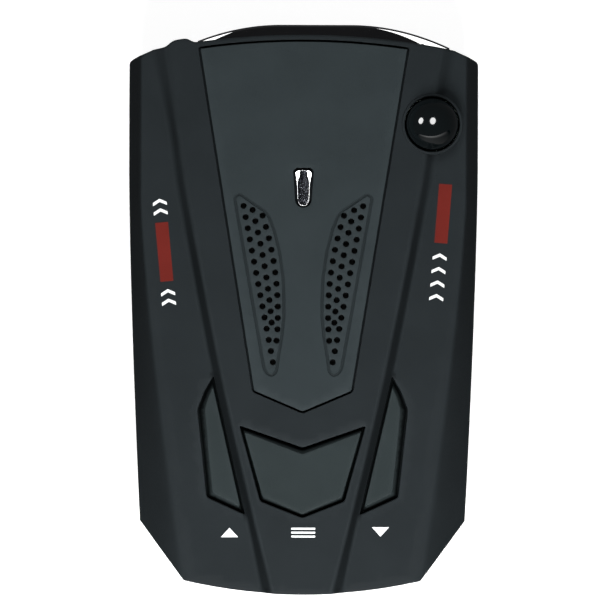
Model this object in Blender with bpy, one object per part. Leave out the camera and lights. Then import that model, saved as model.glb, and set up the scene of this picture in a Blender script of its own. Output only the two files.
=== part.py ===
"""Radar detector for a car dashboard: two-part housing, speaker panel, laser dome, keys and electronics.

Values are in millimetres and become metres when a mesh is made. +X is the driver's right, +Y points
to the windscreen, +Z is up, and the origin is under the middle of the housing, on the surface it
rests on.
"""

import math

import bmesh
import bpy
from mathutils import Vector

MM = 0.001
GAP = 0.3

# Housing
HALF_WIDTH = 35.0
REAR_HALF_WIDTH = 32.6
SIDE_TAPER_FROM = 28.0
CHAMFER_FRONT = -42.5
CHAMFER_REAR = (23.6, -54.2)
FRONT_LIP = 54.6
FRONT_CORNER = ((32.0, 50.7), (34.2, 49.9), (35.0, 49.1))
LIP_SPAN = 30.0
LIP_DROP = 3.0
REAR_EDGE = -56.9
REAR_DROP = 2.7
UNDERSIDE = 0.6
PARTING = 12.0
WING_TOP = 22.3
HUMP_TOP = 25.0
WALL = 1.8
FLOOR_TOP = 2.8
WING_CEILING = 20.3
HUMP_CEILING = 22.0
BAND_HALF_WIDTH = 32.55
BAND_TAPER_FROM = 22.0

# Edges of the step between hump and wings: (y, lower edge, upper edge)
STEP = (
    (70.0, 34.1, 31.5),
    (51.6, 29.7, 27.7),
    (36.2, 26.6, 25.3),
    (23.6, 24.9, 23.3),
    (-13.4, 17.9, 16.1),
    (-40.8, 11.3, 9.8),
    (-56.4, 8.0, 5.9),
    (-70.0, 5.1, 2.6),
)
STATIONS = (66.0, 56.0, 46.0, 36.0, 22.0, 8.0, -6.0, -20.0, -34.0, -46.0, -56.0, -66.0)

# Power socket, under a bulge of the front edge
SOCKET_X = -24.3
SOCKET_Z = 17.4
BULGE_REACH = 1.35
BULGE_WIDTH = 2.0
SOCKET_MOUTH_RADIUS = 2.2
SOCKET_BORE_RADIUS = 1.9
SOCKET_PIN_RADIUS = 0.6

# Front window
WINDOW_X = (-21.2, 29.1)
WINDOW_MIDDLE = 2.5
WINDOW_FLAT = 7.0
WINDOW_REACH = 56.8
WINDOW_CURVE = 0.0118
WINDOW_TOP = 21.0
WINDOW_RIM = 19.9
WINDOW_LOW_REACH = 0.8
WINDOW_LOW_RISE = 1.8
WINDOW_BACK = (1.0, 1.5)

# Display window
DISPLAY_HALF_WIDTH = 15.6
DISPLAY_TOP = 20.7
DISPLAY_DEPTH = 1.6

# Depths of the housing behind the two windows
NOTCH_DEPTH = 4.0
REAR_NOTCH = -52.0

# Speaker panel and its two grilles
PANEL_FRONT = (20.8, 51.9)
PANEL_CROWN = 53.4
PANEL_REAR = (9.85, -16.4)
PANEL_APEX = -20.6
PANEL_UNDERSIDE = 23.8
PANEL_SEAT = 23.5
SEAM = 0.2
GRILLE = (
    (-12.75, 22.9),
    (-13.7, 22.2),
    (-7.75, -11.7),
    (-7.15, -12.8),
    (-6.1, -13.3),
    (-5.25, -12.5),
    (-4.85, -9.4),
    (-4.2, -5.5),
    (-3.8, -1.7),
    (-3.8, 1.8),
    (-3.95, 6.0),
    (-4.7, 11.4),
    (-5.8, 15.7),
    (-6.8, 18.3),
    (-7.6, 19.4),
)
HOLE_RADIUS = 0.6
HOLE_SIDES = 6
SOUND_MARGIN = 0.7
CLOTH_MARGIN = 0.3
CLOTH_THICKNESS = 0.4

# Accent in the panel: its hole, and left halves of the bezel and of the bezel's opening
ACCENT_TOP = 28.1
ACCENT_BOTTOM = 20.2
ACCENT_HALF_WIDTHS = (2.02, 1.65)
ACCENT_CORNER = 0.9
BEZEL_PROUD = 0.4
INSERT_PROUD = 0.15
INSERT_CLEARANCE = 0.25
BEZEL_HALF = (
    (0.0, 27.65),
    (-1.1, 27.65),
    (-1.5, 27.48),
    (-1.7, 27.1),
    (-1.7, 26.6),
    (-1.45, 25.2),
    (-1.31, 23.8),
    (-1.27, 22.4),
    (-1.15, 21.4),
    (-0.8, 20.7),
    (0.0, 20.42),
)
OPENING_HALF = (
    (0.0, 27.35),
    (-0.48, 27.3),
    (-0.57, 26.6),
    (-0.86, 25.6),
    (-1.0, 24.2),
    (-0.98, 22.2),
    (-0.8, 21.2),
    (0.0, 20.72),
)

# Laser dome
DOME = (25.6, 36.9)
DOME_RADIUS = 5.2
DOME_CENTRE = 24.8
DOME_SKIN = 1.0
BOSS_RADIUS = 6.05
BOSS_TOP = 25.25
BOSS_FOOT = 19.5
SENSOR_POST_RADIUS = 2.6
SENSOR_RADIUS = 2.2

# Keys
KEY_PROUD = 0.4
KEY_CLEARANCE = 0.35
KEY_SKIRT = 2.0
FLANGE_REACH = 0.6
STEM_RADIUS = 1.7
SIDE_POCKET = (
    (-17.8, -13.3),
    (-19.7, -16.6),
    (-21.0, -20.1),
    (-20.0, -29.3),
    (-19.1, -37.6),
    (-11.4, -41.1),
)
SIDE_CAP = (
    (-17.9, -15.6),
    (-18.8, -17.6),
    (-19.5, -19.9),
    (-18.7, -29.3),
    (-17.9, -36.7),
    (-12.4, -39.4),
)
MENU_POCKET = (
    (-12.6, -23.2),
    (-8.4, -38.3),
    (0.0, -41.6),
    (8.4, -38.3),
    (12.6, -23.2),
    (0.0, -27.6),
)
MENU_CAP = (
    (-11.6, -24.5),
    (-7.9, -37.4),
    (0.0, -40.8),
    (7.9, -37.4),
    (11.6, -24.5),
    (0.0, -28.9),
)
SIDE_SWITCH = (16.6, -28.0)
MENU_SWITCH = (0.0, -33.0)
PLUNGER_TOP = 18.7
PLUNGER_RADIUS = 1.75
SWITCH_HALF = 3.0
SWITCH_TOP = 18.0

# Boards, screws and pad
BOARD_TOP = 14.5
BOARD_THICKNESS = 1.6
BOARD = (
    (-21.0, 47.0),
    (-29.5, 47.0),
    (-29.5, 39.5),
    (-21.0, 39.5),
    (-21.0, -49.0),
    (21.0, -49.0),
    (21.0, 29.5),
    (31.0, 29.5),
    (31.0, 42.0),
    (21.0, 42.0),
    (21.0, 47.0),
)
BOARD_SCREWS = ((-18.3, 24.0), (18.3, 24.0), (-18.3, -43.0), (18.3, -43.0))
COVER_SCREWS = ((-28.0, 32.0), (26.9, 45.2), (-24.5, -38.0), (24.5, -38.0))
PAD_HALF_SIZE = (20.0, 38.0)
PAD_TOP = 1.2
PAD_CORNER = 4.0
PAD_CLEARANCE = 0.4
POST_RADIUS = 2.6
POST_TOPS = (20.8, 19.4)
POST_BORE = 1.3
POST_BORE_TOP = 17.6
TRAY_POST_RADIUS = 2.8
HEAD_RECESS = (2.3, 4.0)
BOARD_POST_RADIUS = 2.4
BOARD_BORE = 1.1
FOOT_INSET = 3.4
BEND_INSET = 1.6
BEND_HEIGHT = 2.6

# Speaker
SPEAKER = (0.0, 3.5)
SPEAKER_RADIUS = 14.0
LEAD_RADIUS = 0.45
LEAD_POINTS = 12

# Ends of the cutters, well outside the housing
BELOW = 5.0
ABOVE = 40.0
AHEAD = 62.0
SMOOTH_ANGLE = math.radians(40.0)

FINISHES = {
    "housing": ((0.040, 0.045, 0.047), 0.60, 0.0),
    "panel": ((0.055, 0.062, 0.065), 0.58, 0.0),
    "key": ((0.055, 0.062, 0.065), 0.50, 0.0),
    "gloss": ((0.005, 0.005, 0.006), 0.06, 0.0),
    "chrome": ((0.75, 0.76, 0.78), 0.12, 1.0),
    "rubber": ((0.020, 0.020, 0.021), 0.85, 0.0),
    "cloth": ((0.010, 0.010, 0.010), 0.95, 0.0),
    "board": ((0.020, 0.110, 0.045), 0.45, 0.0),
    "chip": ((0.015, 0.015, 0.016), 0.50, 0.0),
    "steel": ((0.45, 0.46, 0.48), 0.35, 1.0),
    "brass": ((0.70, 0.50, 0.20), 0.30, 1.0),
    "clear": ((0.60, 0.62, 0.65), 0.05, 0.0),
    "paper": ((0.050, 0.048, 0.045), 0.90, 0.0),
    "red": ((0.45, 0.02, 0.02), 0.50, 0.0),
}


def clear_scene():
    for obj in list(bpy.data.objects):
        bpy.data.objects.remove(obj, do_unlink=True)


def material(name, finish):
    colour, roughness, metallic = FINISHES[finish]
    mat = bpy.data.materials.new(name)
    mat.use_nodes = True
    shader = mat.node_tree.nodes["Principled BSDF"]
    shader.inputs["Base Color"].default_value = (*colour, 1.0)
    shader.inputs["Roughness"].default_value = roughness
    shader.inputs["Metallic"].default_value = metallic
    return mat


def add(name, bm, finish=None, at=(0.0, 0.0, 0.0), rounded=False):
    """Makes an object of a mesh drawn in millimetres, with its origin at the point given."""
    bmesh.ops.triangulate(bm, faces=bm.faces)
    bmesh.ops.recalc_face_normals(bm, faces=bm.faces)
    for vert in bm.verts:
        vert.co = (vert.co - Vector(at)) * MM
    mesh = bpy.data.meshes.new(name)
    bm.to_mesh(mesh)
    bm.free()
    if rounded:
        mesh.shade_smooth()
        mesh.set_sharp_from_angle(angle=SMOOTH_ANGLE)
    obj = bpy.data.objects.new(name, mesh)
    obj.location = Vector(at) * MM
    bpy.context.scene.collection.objects.link(obj)
    if finish:
        mesh.materials.append(material(name, finish))
    return obj


def combine(target, operation, *tools):
    """Adds one Boolean to the target for all its tools, and makes the tools guides."""
    mod = target.modifiers.new(tools[0].name, "BOOLEAN")
    mod.operation = operation
    mod.solver = "EXACT"
    if len(tools) == 1:
        mod.object = tools[0]
    else:
        group = bpy.data.collections.new(f"{target.name}_{tools[0].name}")
        bpy.context.scene.collection.children.link(group)
        group.hide_render = True
        for tool in tools:
            group.objects.link(tool)
            bpy.context.scene.collection.objects.unlink(tool)
        mod.operand_type = "COLLECTION"
        mod.collection = group
    for tool in tools:
        tool.hide_render = True
        tool.display_type = "WIRE"
    return target


def skin(rings):
    """A closed mesh through rings of equally many points, capped at both ends."""
    bm = bmesh.new()
    layers = [[bm.verts.new(p) for p in ring] for ring in rings]
    count = len(layers[0])
    for low, high in zip(layers, layers[1:]):
        for i in range(count):
            j = (i + 1) % count
            bm.faces.new((low[i], low[j], high[j], high[i]))
    bm.faces.new(list(reversed(layers[0])))
    bm.faces.new(layers[-1])
    return bm


def stack(name, layers, finish=None, at=(0.0, 0.0, 0.0)):
    """A solid through plan outlines, each given with its height."""
    return add(name, skin([[(x, y, z) for x, y in points] for points, z in layers]), finish, at)


def prism(name, points, low, high, finish=None, at=(0.0, 0.0, 0.0)):
    return stack(name, [(points, low), (points, high)], finish, at)


def rectangle(low, high):
    return [(low[0], low[1]), (high[0], low[1]), (high[0], high[1]), (low[0], high[1])]


def block(name, low, high, finish=None):
    return prism(name, rectangle(low, high), low[2], high[2], finish)


def turned(
    name, path, centre, finish=None, segments=16, axis="Z", at=(0.0, 0.0, 0.0), closed=False
):
    """A solid turned from a path of (radius, height), from axis to axis or as a closed loop."""
    bm = bmesh.new()
    rings = []
    for radius, height in path:
        if radius == 0.0:
            rings.append([bm.verts.new((0.0, 0.0, height))])
            continue
        ring = []
        for k in range(segments):
            angle = 2 * math.pi * k / segments
            ring.append(bm.verts.new((radius * math.cos(angle), radius * math.sin(angle), height)))
        rings.append(ring)
    pairs = list(zip(rings, rings[1:]))
    if closed:
        pairs.append((rings[-1], rings[0]))
    for low, high in pairs:
        for k in range(segments):
            n = (k + 1) % segments
            corners = [low[k % len(low)], low[n % len(low)], high[n % len(high)], high[k % len(high)]]
            bm.faces.new(list(dict.fromkeys(corners)))
    for vert in bm.verts:
        x, y, z = vert.co
        turned_co = (x, y, z) if axis == "Z" else (x, z, y)
        vert.co = Vector(turned_co) + Vector(centre)
    return add(name, bm, finish, at, rounded=True)


def cylinder(
    name, centre, radius, low, high, finish=None, segments=16, axis="Z", at=(0.0, 0.0, 0.0)
):
    path = ((0.0, low), (radius, low), (radius, high), (0.0, high))
    return turned(name, path, centre, finish, segments, axis, at)


def offset(points, distance):
    """Moves a counter-clockwise outline outward, with its sharpest corners held back."""
    moved = []
    count = len(points)
    for i in range(count):
        before = Vector(points[i]) - Vector(points[i - 1])
        after = Vector(points[(i + 1) % count]) - Vector(points[i])
        a = Vector((before.y, -before.x)).normalized()
        b = Vector((after.y, -after.x)).normalized()
        spread = max(1.0 + a.dot(b), 0.4)
        moved.append(tuple(Vector(points[i]) + (a + b) * distance / spread))
    return moved


def mirrored(points):
    return [(-x, y) for x, y in reversed(points)]


def smooth(table, y, column):
    """A smooth curve through rows that run from front to rear."""
    for i in range(1, len(table) - 2):
        if y >= table[i + 1][0] or i == len(table) - 3:
            break
    y0, y1, y2, y3 = (table[i + k][0] for k in (-1, 0, 1, 2))
    v0, v1, v2, v3 = (table[i + k][column] for k in (-1, 0, 1, 2))
    slope_a = (v2 - v0) / (y2 - y0)
    slope_b = (v3 - v1) / (y3 - y1)
    span = y2 - y1
    t = (y - y1) / span
    return (
        (2 * t**3 - 3 * t**2 + 1) * v1
        + (t**3 - 2 * t**2 + t) * span * slope_a
        + (3 * t**2 - 2 * t**3) * v2
        + (t**3 - t**2) * span * slope_b
    )


def step_low(y):
    return smooth(STEP, y, 1)


def step_high(y):
    return smooth(STEP, y, 2)


def half_width(y):
    along = max(0.0, SIDE_TAPER_FROM - y) / (SIDE_TAPER_FROM - CHAMFER_FRONT)
    return HALF_WIDTH - (HALF_WIDTH - REAR_HALF_WIDTH) * along**1.45


def band(y):
    """Half width of the top where the side flanks begin to fall away."""
    return BAND_HALF_WIDTH - 0.028 * max(0.0, BAND_TAPER_FROM - y) ** 1.32


def lip(x):
    return FRONT_LIP - LIP_DROP * (x / LIP_SPAN) ** 2


def bulged_lip(x):
    return lip(x) + BULGE_REACH * math.exp(-(((x - SOCKET_X) / BULGE_WIDTH) ** 4))


def rear(x):
    return REAR_EDGE + REAR_DROP * (x / CHAMFER_REAR[0]) ** 2


def window_front(x):
    return WINDOW_REACH - WINDOW_CURVE * max(0.0, abs(x - WINDOW_MIDDLE) - WINDOW_FLAT) ** 2


def spread(low, high, count):
    return [low + (high - low) * i / (count - 1) for i in range(count)]


def chamfer_ends(inset):
    """Both ends of the right rear chamfer, moved in by a distance."""
    front_x, front_y = REAR_HALF_WIDTH, CHAMFER_FRONT
    rear_x, rear_y = CHAMFER_REAR
    length = math.hypot(front_x - rear_x, front_y - rear_y)
    along_x = (front_x - rear_x) / length
    along_y = (front_y - rear_y) / length
    front_end = (front_x - inset, front_y + inset * (1 - along_y) / along_x)
    rear_end = (rear_x - inset * (1 - along_x) / along_y, rear_y + inset)
    return front_end, rear_end


def front_edge(inset, edge, count):
    reach = LIP_SPAN - inset
    return [(x, edge(x) - inset) for x in spread(reach, -reach, count)]


def rear_edge(inset):
    reach = chamfer_ends(inset)[1][0]
    return [(x, rear(x) + inset) for x in spread(-reach, reach, 11)]


def housing_outline(inset=0.0):
    """Outline at the parting line, or inside it, counter-clockwise from the front right corner."""
    left_corner = [(inset - x, y - inset) for x, y in FRONT_CORNER]
    side_end = chamfer_ends(inset)[0][1]
    left_side = [(inset - half_width(y), y) for y in spread(SIDE_TAPER_FROM, side_end, 6)]
    left = left_corner + left_side
    right = [(-x, y) for x, y in reversed(left)]
    return front_edge(inset, lip, 13) + left + rear_edge(inset) + right


def cover_cut(inset=0.0):
    """Outline that trims the front, the rear and the rear corners of the upper housing."""
    wide = 40.0
    (front_x, front_y), (rear_x, rear_y) = chamfer_ends(inset)
    slope = (front_y - rear_y) / (front_x - rear_x)
    left = [(inset - x, y - inset) for x, y in FRONT_CORNER]
    left += [(-wide, FRONT_CORNER[-1][1] - 0.4 - inset), (-wide, front_y + (wide - front_x) * slope)]
    right = [(-x, y) for x, y in reversed(left)]
    return front_edge(inset, bulged_lip, 41) + left + rear_edge(inset) + right


def cover_section(y, inner):
    """Right and left profile of the upper housing at one station, from edge to edge."""
    if inner:
        right = (
            (half_width(y) - WALL - 0.1, PARTING - 1.0),
            (band(y) - WALL - 0.1, WING_CEILING),
            (step_low(y) - 0.8, WING_CEILING),
            (step_high(y) - 1.0, HUMP_CEILING),
        )
    else:
        right = (
            (half_width(y), PARTING + GAP),
            (band(y), WING_TOP),
            (step_low(y), WING_TOP),
            (step_high(y), HUMP_TOP),
        )
    left = [(-x, z) for x, z in reversed(right)]
    return [(x, y, z) for x, z in (*right, *left)]


def cover_form(name, inner, finish=None):
    return add(name, skin([cover_section(y, inner) for y in STATIONS]), finish)


def panel_outline():
    front_x, front_y = PANEL_FRONT
    xs = spread(front_x, -front_x, 9)
    top = [(x, PANEL_CROWN - (PANEL_CROWN - front_y) * (x / front_x) ** 2) for x in xs]
    return top + [(-PANEL_REAR[0], PANEL_REAR[1]), (0.0, PANEL_APEX), PANEL_REAR]


def accent_outline():
    wide, narrow = ACCENT_HALF_WIDTHS
    corner = ACCENT_CORNER
    points = []
    for side, start in ((1, 0.0), (-1, 0.5)):
        for k in range(4):
            angle = math.pi * (start + k / 6)
            x = side * (wide - corner) + corner * math.cos(angle)
            points.append((x, ACCENT_TOP - corner + corner * math.sin(angle)))
    for k in range(9):
        angle = math.pi * (1 + k / 8)
        points.append((narrow * math.cos(angle), ACCENT_BOTTOM + narrow + narrow * math.sin(angle)))
    return points


def whole(half):
    """A closed outline from its left half, given from the front to the rear."""
    return list(half) + mirrored(half)[1:-1]


def grille_holes():
    """Centres of the left grille's holes: an outer column, a bowed inner one, and one between."""
    def outer_x(y):
        return -11.9 + 0.1916 * (20.5 - y)

    def inner_x(y):
        return -5.0 - 0.00807 * (y + 1.0) ** 2

    outer = [(outer_x(y), y) for y in spread(20.5, -10.6, 15)]
    inner = [(inner_x(y), y) for y in spread(18.6, -6.3, 12)]
    middle = [((outer_x(y) + inner_x(y)) / 2, y) for y in spread(19.7, -2.7, 11)]
    return outer + inner + middle


def columns(name, centres, radius, low, high, segments=16):
    """Upright cylinders, one at each centre."""
    return [
        cylinder(f"{name}_{number}", (*centre, 0), radius, low, high, segments=segments)
        for number, centre in enumerate(centres)
    ]


def top_cover():
    cover = cover_form("top_cover", False, "housing")
    combine(cover, "INTERSECT", prism("cover_plan", cover_cut(), BELOW, ABOVE))
    cavity = cover_form("cover_cavity", True)
    combine(cavity, "INTERSECT", prism("cavity_plan", cover_cut(WALL), BELOW, ABOVE))
    combine(cover, "DIFFERENCE", cavity)
    boss = cylinder("dome_boss", (*DOME, 0), BOSS_RADIUS, BOSS_FOOT, BOSS_TOP, segments=28)
    front_posts = columns("front_post", COVER_SCREWS[:2], POST_RADIUS, PARTING + GAP, POST_TOPS[0])
    rear_posts = columns("rear_post", COVER_SCREWS[2:], POST_RADIUS, PARTING + GAP, POST_TOPS[1])
    combine(cover, "UNION", boss, *front_posts, *rear_posts)
    cutters = columns("post_bore", COVER_SCREWS, POST_BORE, BELOW, POST_BORE_TOP, 12)
    cutters.append(cylinder("dome_hole", (*DOME, 0), DOME_RADIUS + GAP, BELOW, ABOVE, segments=28))
    for name, points in (("up", SIDE_POCKET), ("menu", MENU_POCKET), ("down", mirrored(SIDE_POCKET))):
        cutters.append(prism(f"{name}_pocket", points, PARTING, ABOVE))
    xs = spread(WINDOW_X[0] - GAP, WINDOW_X[1] + GAP, 9)
    front_notch = [(x, lip(x) - NOTCH_DEPTH) for x in xs] + [(x, AHEAD) for x in reversed(xs)]
    cutters.append(prism("front_notch", front_notch, BELOW, WINDOW_TOP + GAP))
    width = DISPLAY_HALF_WIDTH + GAP
    rear_notch = rectangle((-width, -AHEAD), (width, REAR_NOTCH))
    cutters.append(prism("rear_notch", rear_notch, BELOW, DISPLAY_TOP + GAP))
    mouth = cylinder("socket_mouth", (SOCKET_X, 0, SOCKET_Z), SOCKET_MOUTH_RADIUS, 48.0, 60.0, axis="Y")
    cutters.append(mouth)
    cutters.append(prism("panel_recess", offset(panel_outline(), SEAM), PANEL_SEAT, ABOVE))
    for side, points in (("left", GRILLE), ("right", mirrored(GRILLE))):
        cutters.append(prism(f"sound_opening_{side}", offset(points, SOUND_MARGIN), PARTING, ABOVE))
    combine(cover, "DIFFERENCE", *cutters)


def bottom_cover():
    foot = housing_outline(FOOT_INSET)
    layers = [(foot, UNDERSIDE), (housing_outline(BEND_INSET), BEND_HEIGHT), (housing_outline(), PARTING)]
    cover = stack("bottom_cover", layers, "housing")
    inner = [(foot, FLOOR_TOP), (housing_outline(WALL), PARTING + 1.0)]
    combine(cover, "DIFFERENCE", stack("tray_cavity", inner))
    post_foot = FLOOR_TOP - 0.5
    board_low = BOARD_TOP - BOARD_THICKNESS
    tray_posts = columns("tray_post", COVER_SCREWS, TRAY_POST_RADIUS, post_foot, PARTING - 0.2)
    board_posts = columns("board_post", BOARD_SCREWS, BOARD_POST_RADIUS, post_foot, board_low - GAP, 12)
    combine(cover, "UNION", *tray_posts, *board_posts)
    recess_radius, recess_top = HEAD_RECESS
    bores = columns("tray_bore", COVER_SCREWS, POST_BORE, -1.0, ABOVE, 12)
    bores += columns("head_recess", COVER_SCREWS, recess_radius, -1.0, recess_top)
    bores += columns("board_bore", BOARD_SCREWS, BOARD_BORE, recess_top, ABOVE, 12)
    bores.append(prism("pad_recess", pad_outline(PAD_CLEARANCE), -1.0, PAD_TOP + GAP))
    combine(cover, "DIFFERENCE", *bores)


def pad_outline(extra):
    points = []
    for quarter, (sx, sy) in enumerate(((1, 1), (-1, 1), (-1, -1), (1, -1))):
        for k in range(4):
            angle = math.pi / 2 * (quarter + k / 3)
            reach = PAD_CORNER + extra
            x = sx * (PAD_HALF_SIZE[0] - PAD_CORNER) + reach * math.cos(angle)
            points.append((x, sy * (PAD_HALF_SIZE[1] - PAD_CORNER) + reach * math.sin(angle)))
    return points


def speaker_panel():
    panel = prism("center_panel", offset(panel_outline(), -SEAM), PANEL_UNDERSIDE, HUMP_TOP, "panel")
    combine(panel, "DIFFERENCE", prism("accent_hole", accent_outline(), PARTING, ABOVE))
    bm = bmesh.new()
    for x, y in grille_holes():
        for side in (1, -1):
            made = bmesh.ops.create_circle(bm, cap_ends=True, segments=HOLE_SIDES, radius=HOLE_RADIUS)
            bmesh.ops.translate(bm, verts=made["verts"], vec=(side * x, y, PANEL_UNDERSIDE - 1.0))
    drilled = bmesh.ops.extrude_face_region(bm, geom=bm.faces[:])
    tops = [part for part in drilled["geom"] if isinstance(part, bmesh.types.BMVert)]
    bmesh.ops.translate(bm, verts=tops, vec=(0.0, 0.0, 4.0))
    combine(panel, "DIFFERENCE", add("grille_drill", bm))
    for side, points in (("left", GRILLE), ("right", mirrored(GRILLE))):
        cloth = offset(points, CLOTH_MARGIN)
        prism(f"grille_cloth_{side}", cloth, PANEL_SEAT - CLOTH_THICKNESS, PANEL_SEAT, "cloth")


def accent():
    bezel = prism("accent_bezel", whole(BEZEL_HALF), PANEL_UNDERSIDE, HUMP_TOP + BEZEL_PROUD, "chrome")
    opening = whole(OPENING_HALF)
    combine(bezel, "DIFFERENCE", prism("accent_opening", opening, PARTING, ABOVE))
    core = offset(opening, -INSERT_CLEARANCE)
    prism("accent_insert", core, PANEL_UNDERSIDE + 0.2, HUMP_TOP + INSERT_PROUD, "chrome")


def arc(radius, centre, steps):
    """Quarter circle from the axis to the side."""
    angles = [math.pi / 2 * k / steps for k in range(steps + 1)]
    top = (0.0, centre + radius)
    return [top] + [(radius * math.sin(a), centre + radius * math.cos(a)) for a in angles[1:]]


def laser_dome():
    foot = BOSS_FOOT - 1.0
    inner = arc(DOME_RADIUS - DOME_SKIN, DOME_CENTRE, 4)
    outer = list(reversed(arc(DOME_RADIUS, DOME_CENTRE, 5)))
    skirt = [(DOME_RADIUS - DOME_SKIN, foot), (DOME_RADIUS, foot)]
    turned("dome_lens", inner + skirt + outer, (*DOME, 0), "gloss", segments=24)
    cylinder("dome_sensor_post", (*DOME, 0), SENSOR_POST_RADIUS, BOARD_TOP + GAP, 20.5, "chip", 12)
    cylinder("dome_photodiode", (*DOME, 0), SENSOR_RADIUS, 20.8, 23.2, "clear", 12)


def front_window():
    xs = spread(*WINDOW_X, 18)
    near, far = WINDOW_BACK
    back = [(x, lip(x) - far) for x in xs]

    def outline(reach):
        """Plan of the window, with its face at a share of the way from the lip to the front."""
        starts = [lip(x) - near for x in reversed(xs)]
        face = [(x, y + reach * (window_front(x) - y)) for x, y in zip(reversed(xs), starts)]
        return face + back

    low = PARTING + 2 * GAP
    layers = [
        (outline(WINDOW_LOW_REACH), low),
        (outline(1.0), low + WINDOW_LOW_RISE),
        (outline(1.0), WINDOW_RIM),
        (outline(0.0), WINDOW_TOP),
    ]
    stack("front_window", layers, "gloss")
    centre = (WINDOW_MIDDLE, 0, 17.7)
    lens_path = ((0.0, 47.4), (3.1, 47.4), (3.1, 48.2), (2.2, 49.1), (1.1, 49.5), (0.0, 49.6))
    turned("laser_lens", lens_path, centre, "clear", axis="Y")
    holder = block("lens_holder", (-1.5, 41.5, BOARD_TOP + GAP), (6.5, 47.0, 20.9), "chip")
    combine(holder, "DIFFERENCE", cylinder("holder_bore", centre, 2.6, 40.0, 50.0, axis="Y"))
    cylinder("laser_photodiode", centre, 2.2, 42.0, 43.6, "clear", 12, axis="Y")


def display():
    xs = spread(-DISPLAY_HALF_WIDTH, DISPLAY_HALF_WIDTH, 9)
    outline = [(x, rear(x) + GAP) for x in xs]
    outline += [(x, rear(x) + GAP + DISPLAY_DEPTH) for x in reversed(xs)]
    prism("display_window", outline, PARTING + 2 * GAP, DISPLAY_TOP, "gloss")
    block("led_display", (-13.0, -53.2, 13.0), (13.0, -49.5, 20.0), "red")


def key(name, pocket, cap, levels, switch):
    """A key cap with a sloping skirt, a neck in its pocket and a flange under the housing."""
    surface, flange_top, flange_low = levels
    top = surface + KEY_PROUD
    shoulder = surface - KEY_SKIRT
    neck = offset(pocket, -KEY_CLEARANCE)
    flange = offset(pocket, FLANGE_REACH)
    at = (*switch, flange_low)
    layers = [(flange, flange_low), (flange, flange_top), (neck, flange_top)]
    layers += [(neck, shoulder), (cap, top)]
    body = stack(f"{name}_key", layers, "key", at)
    if flange_low > PLUNGER_TOP + 2 * GAP:
        stem = cylinder(f"{name}_stem", (*switch, 0), STEM_RADIUS, PLUNGER_TOP + GAP, flange_low + 0.5)
        combine(body, "UNION", stem)
    x, y = switch
    low = (x - SWITCH_HALF, y - SWITCH_HALF, BOARD_TOP + GAP)
    high = (x + SWITCH_HALF, y + SWITCH_HALF, SWITCH_TOP)
    housing = block(f"{name}_switch", low, high, "chip")
    bore_radius = PLUNGER_RADIUS + KEY_CLEARANCE
    bore_low = SWITCH_TOP - 2.0
    bore = cylinder(f"{name}_switch_bore", (x, y, 0), bore_radius, bore_low, ABOVE, segments=12)
    combine(housing, "DIFFERENCE", bore)
    at = (x, y, PLUNGER_TOP)
    plunger_low = SWITCH_TOP - 1.2
    cylinder(f"{name}_plunger", (x, y, 0), PLUNGER_RADIUS, plunger_low, PLUNGER_TOP, "red", 12, at=at)


def keys():
    side_levels = (WING_TOP, WING_CEILING - GAP, PLUNGER_TOP + GAP)
    menu_levels = (HUMP_TOP, HUMP_CEILING - 1.0, HUMP_CEILING - 2.0)
    x, y = SIDE_SWITCH
    key("up", SIDE_POCKET, SIDE_CAP, side_levels, (-x, y))
    key("down", mirrored(SIDE_POCKET), mirrored(SIDE_CAP), side_levels, (x, y))
    key("menu", MENU_POCKET, MENU_CAP, menu_levels, MENU_SWITCH)


def speaker():
    centre = (*SPEAKER, 0)
    outer = SPEAKER_RADIUS
    gasket = ((outer - 1.8, 21.2), (outer, 21.2), (outer, 21.7), (outer - 1.8, 21.7))
    turned("speaker_gasket", gasket, centre, "rubber", 20, closed=True)
    frame = (
        (0.0, 17.9),
        (5.6, 17.9),
        (11.9, 20.3),
        (12.2, 20.9),
        (outer, 20.9),
        (outer, 20.1),
        (12.4, 19.9),
        (6.0, 17.1),
        (0.0, 17.1),
    )
    turned("speaker_frame", frame, centre, "steel", 20)
    cone = ((0.0, 19.6), (2.5, 19.3), (11.6, 20.9), (11.6, 20.6), (2.5, 18.8), (0.0, 18.8))
    turned("speaker_cone", cone, centre, "paper", 20)
    cylinder("speaker_magnet", centre, 5.5, 15.0, 16.8, "steel")
    block("speaker_connector", (13.5, -10.0, BOARD_TOP + GAP), (19.5, -6.0, 18.4), "chip")
    for letter, shift in (("a", 0.0), ("b", 1.7)):
        lead(f"speaker_lead_{letter}", shift)


def lead(name, shift):
    curve = bpy.data.curves.new(name, "CURVE")
    curve.dimensions = "3D"
    curve.bevel_depth = LEAD_RADIUS * MM
    curve.bevel_resolution = 1
    curve.use_fill_caps = True
    spline = curve.splines.new("POLY")
    spline.points.add(LEAD_POINTS)
    start = Vector((9.2 + shift, -1.6 - shift, 16.0))
    bend = Vector((13.6 + shift, -4.2 - shift / 2, 21.0))
    end = Vector((15.4 + shift, -8.0, 18.9))
    for k, point in enumerate(spline.points):
        t = k / LEAD_POINTS
        spot = start * (1 - t) ** 2 + bend * 2 * t * (1 - t) + end * t * t
        point.co = (*(spot * MM), 1.0)
    obj = bpy.data.objects.new(name, curve)
    bpy.context.scene.collection.objects.link(obj)
    curve.materials.append(material(name, "red" if shift else "rubber"))


def main_board():
    low = BOARD_TOP - BOARD_THICKNESS
    board = prism("main_board", BOARD, low, BOARD_TOP, "board")
    combine(board, "DIFFERENCE", *columns("board_hole", BOARD_SCREWS, BOARD_BORE, BELOW, ABOVE, 12))


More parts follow.
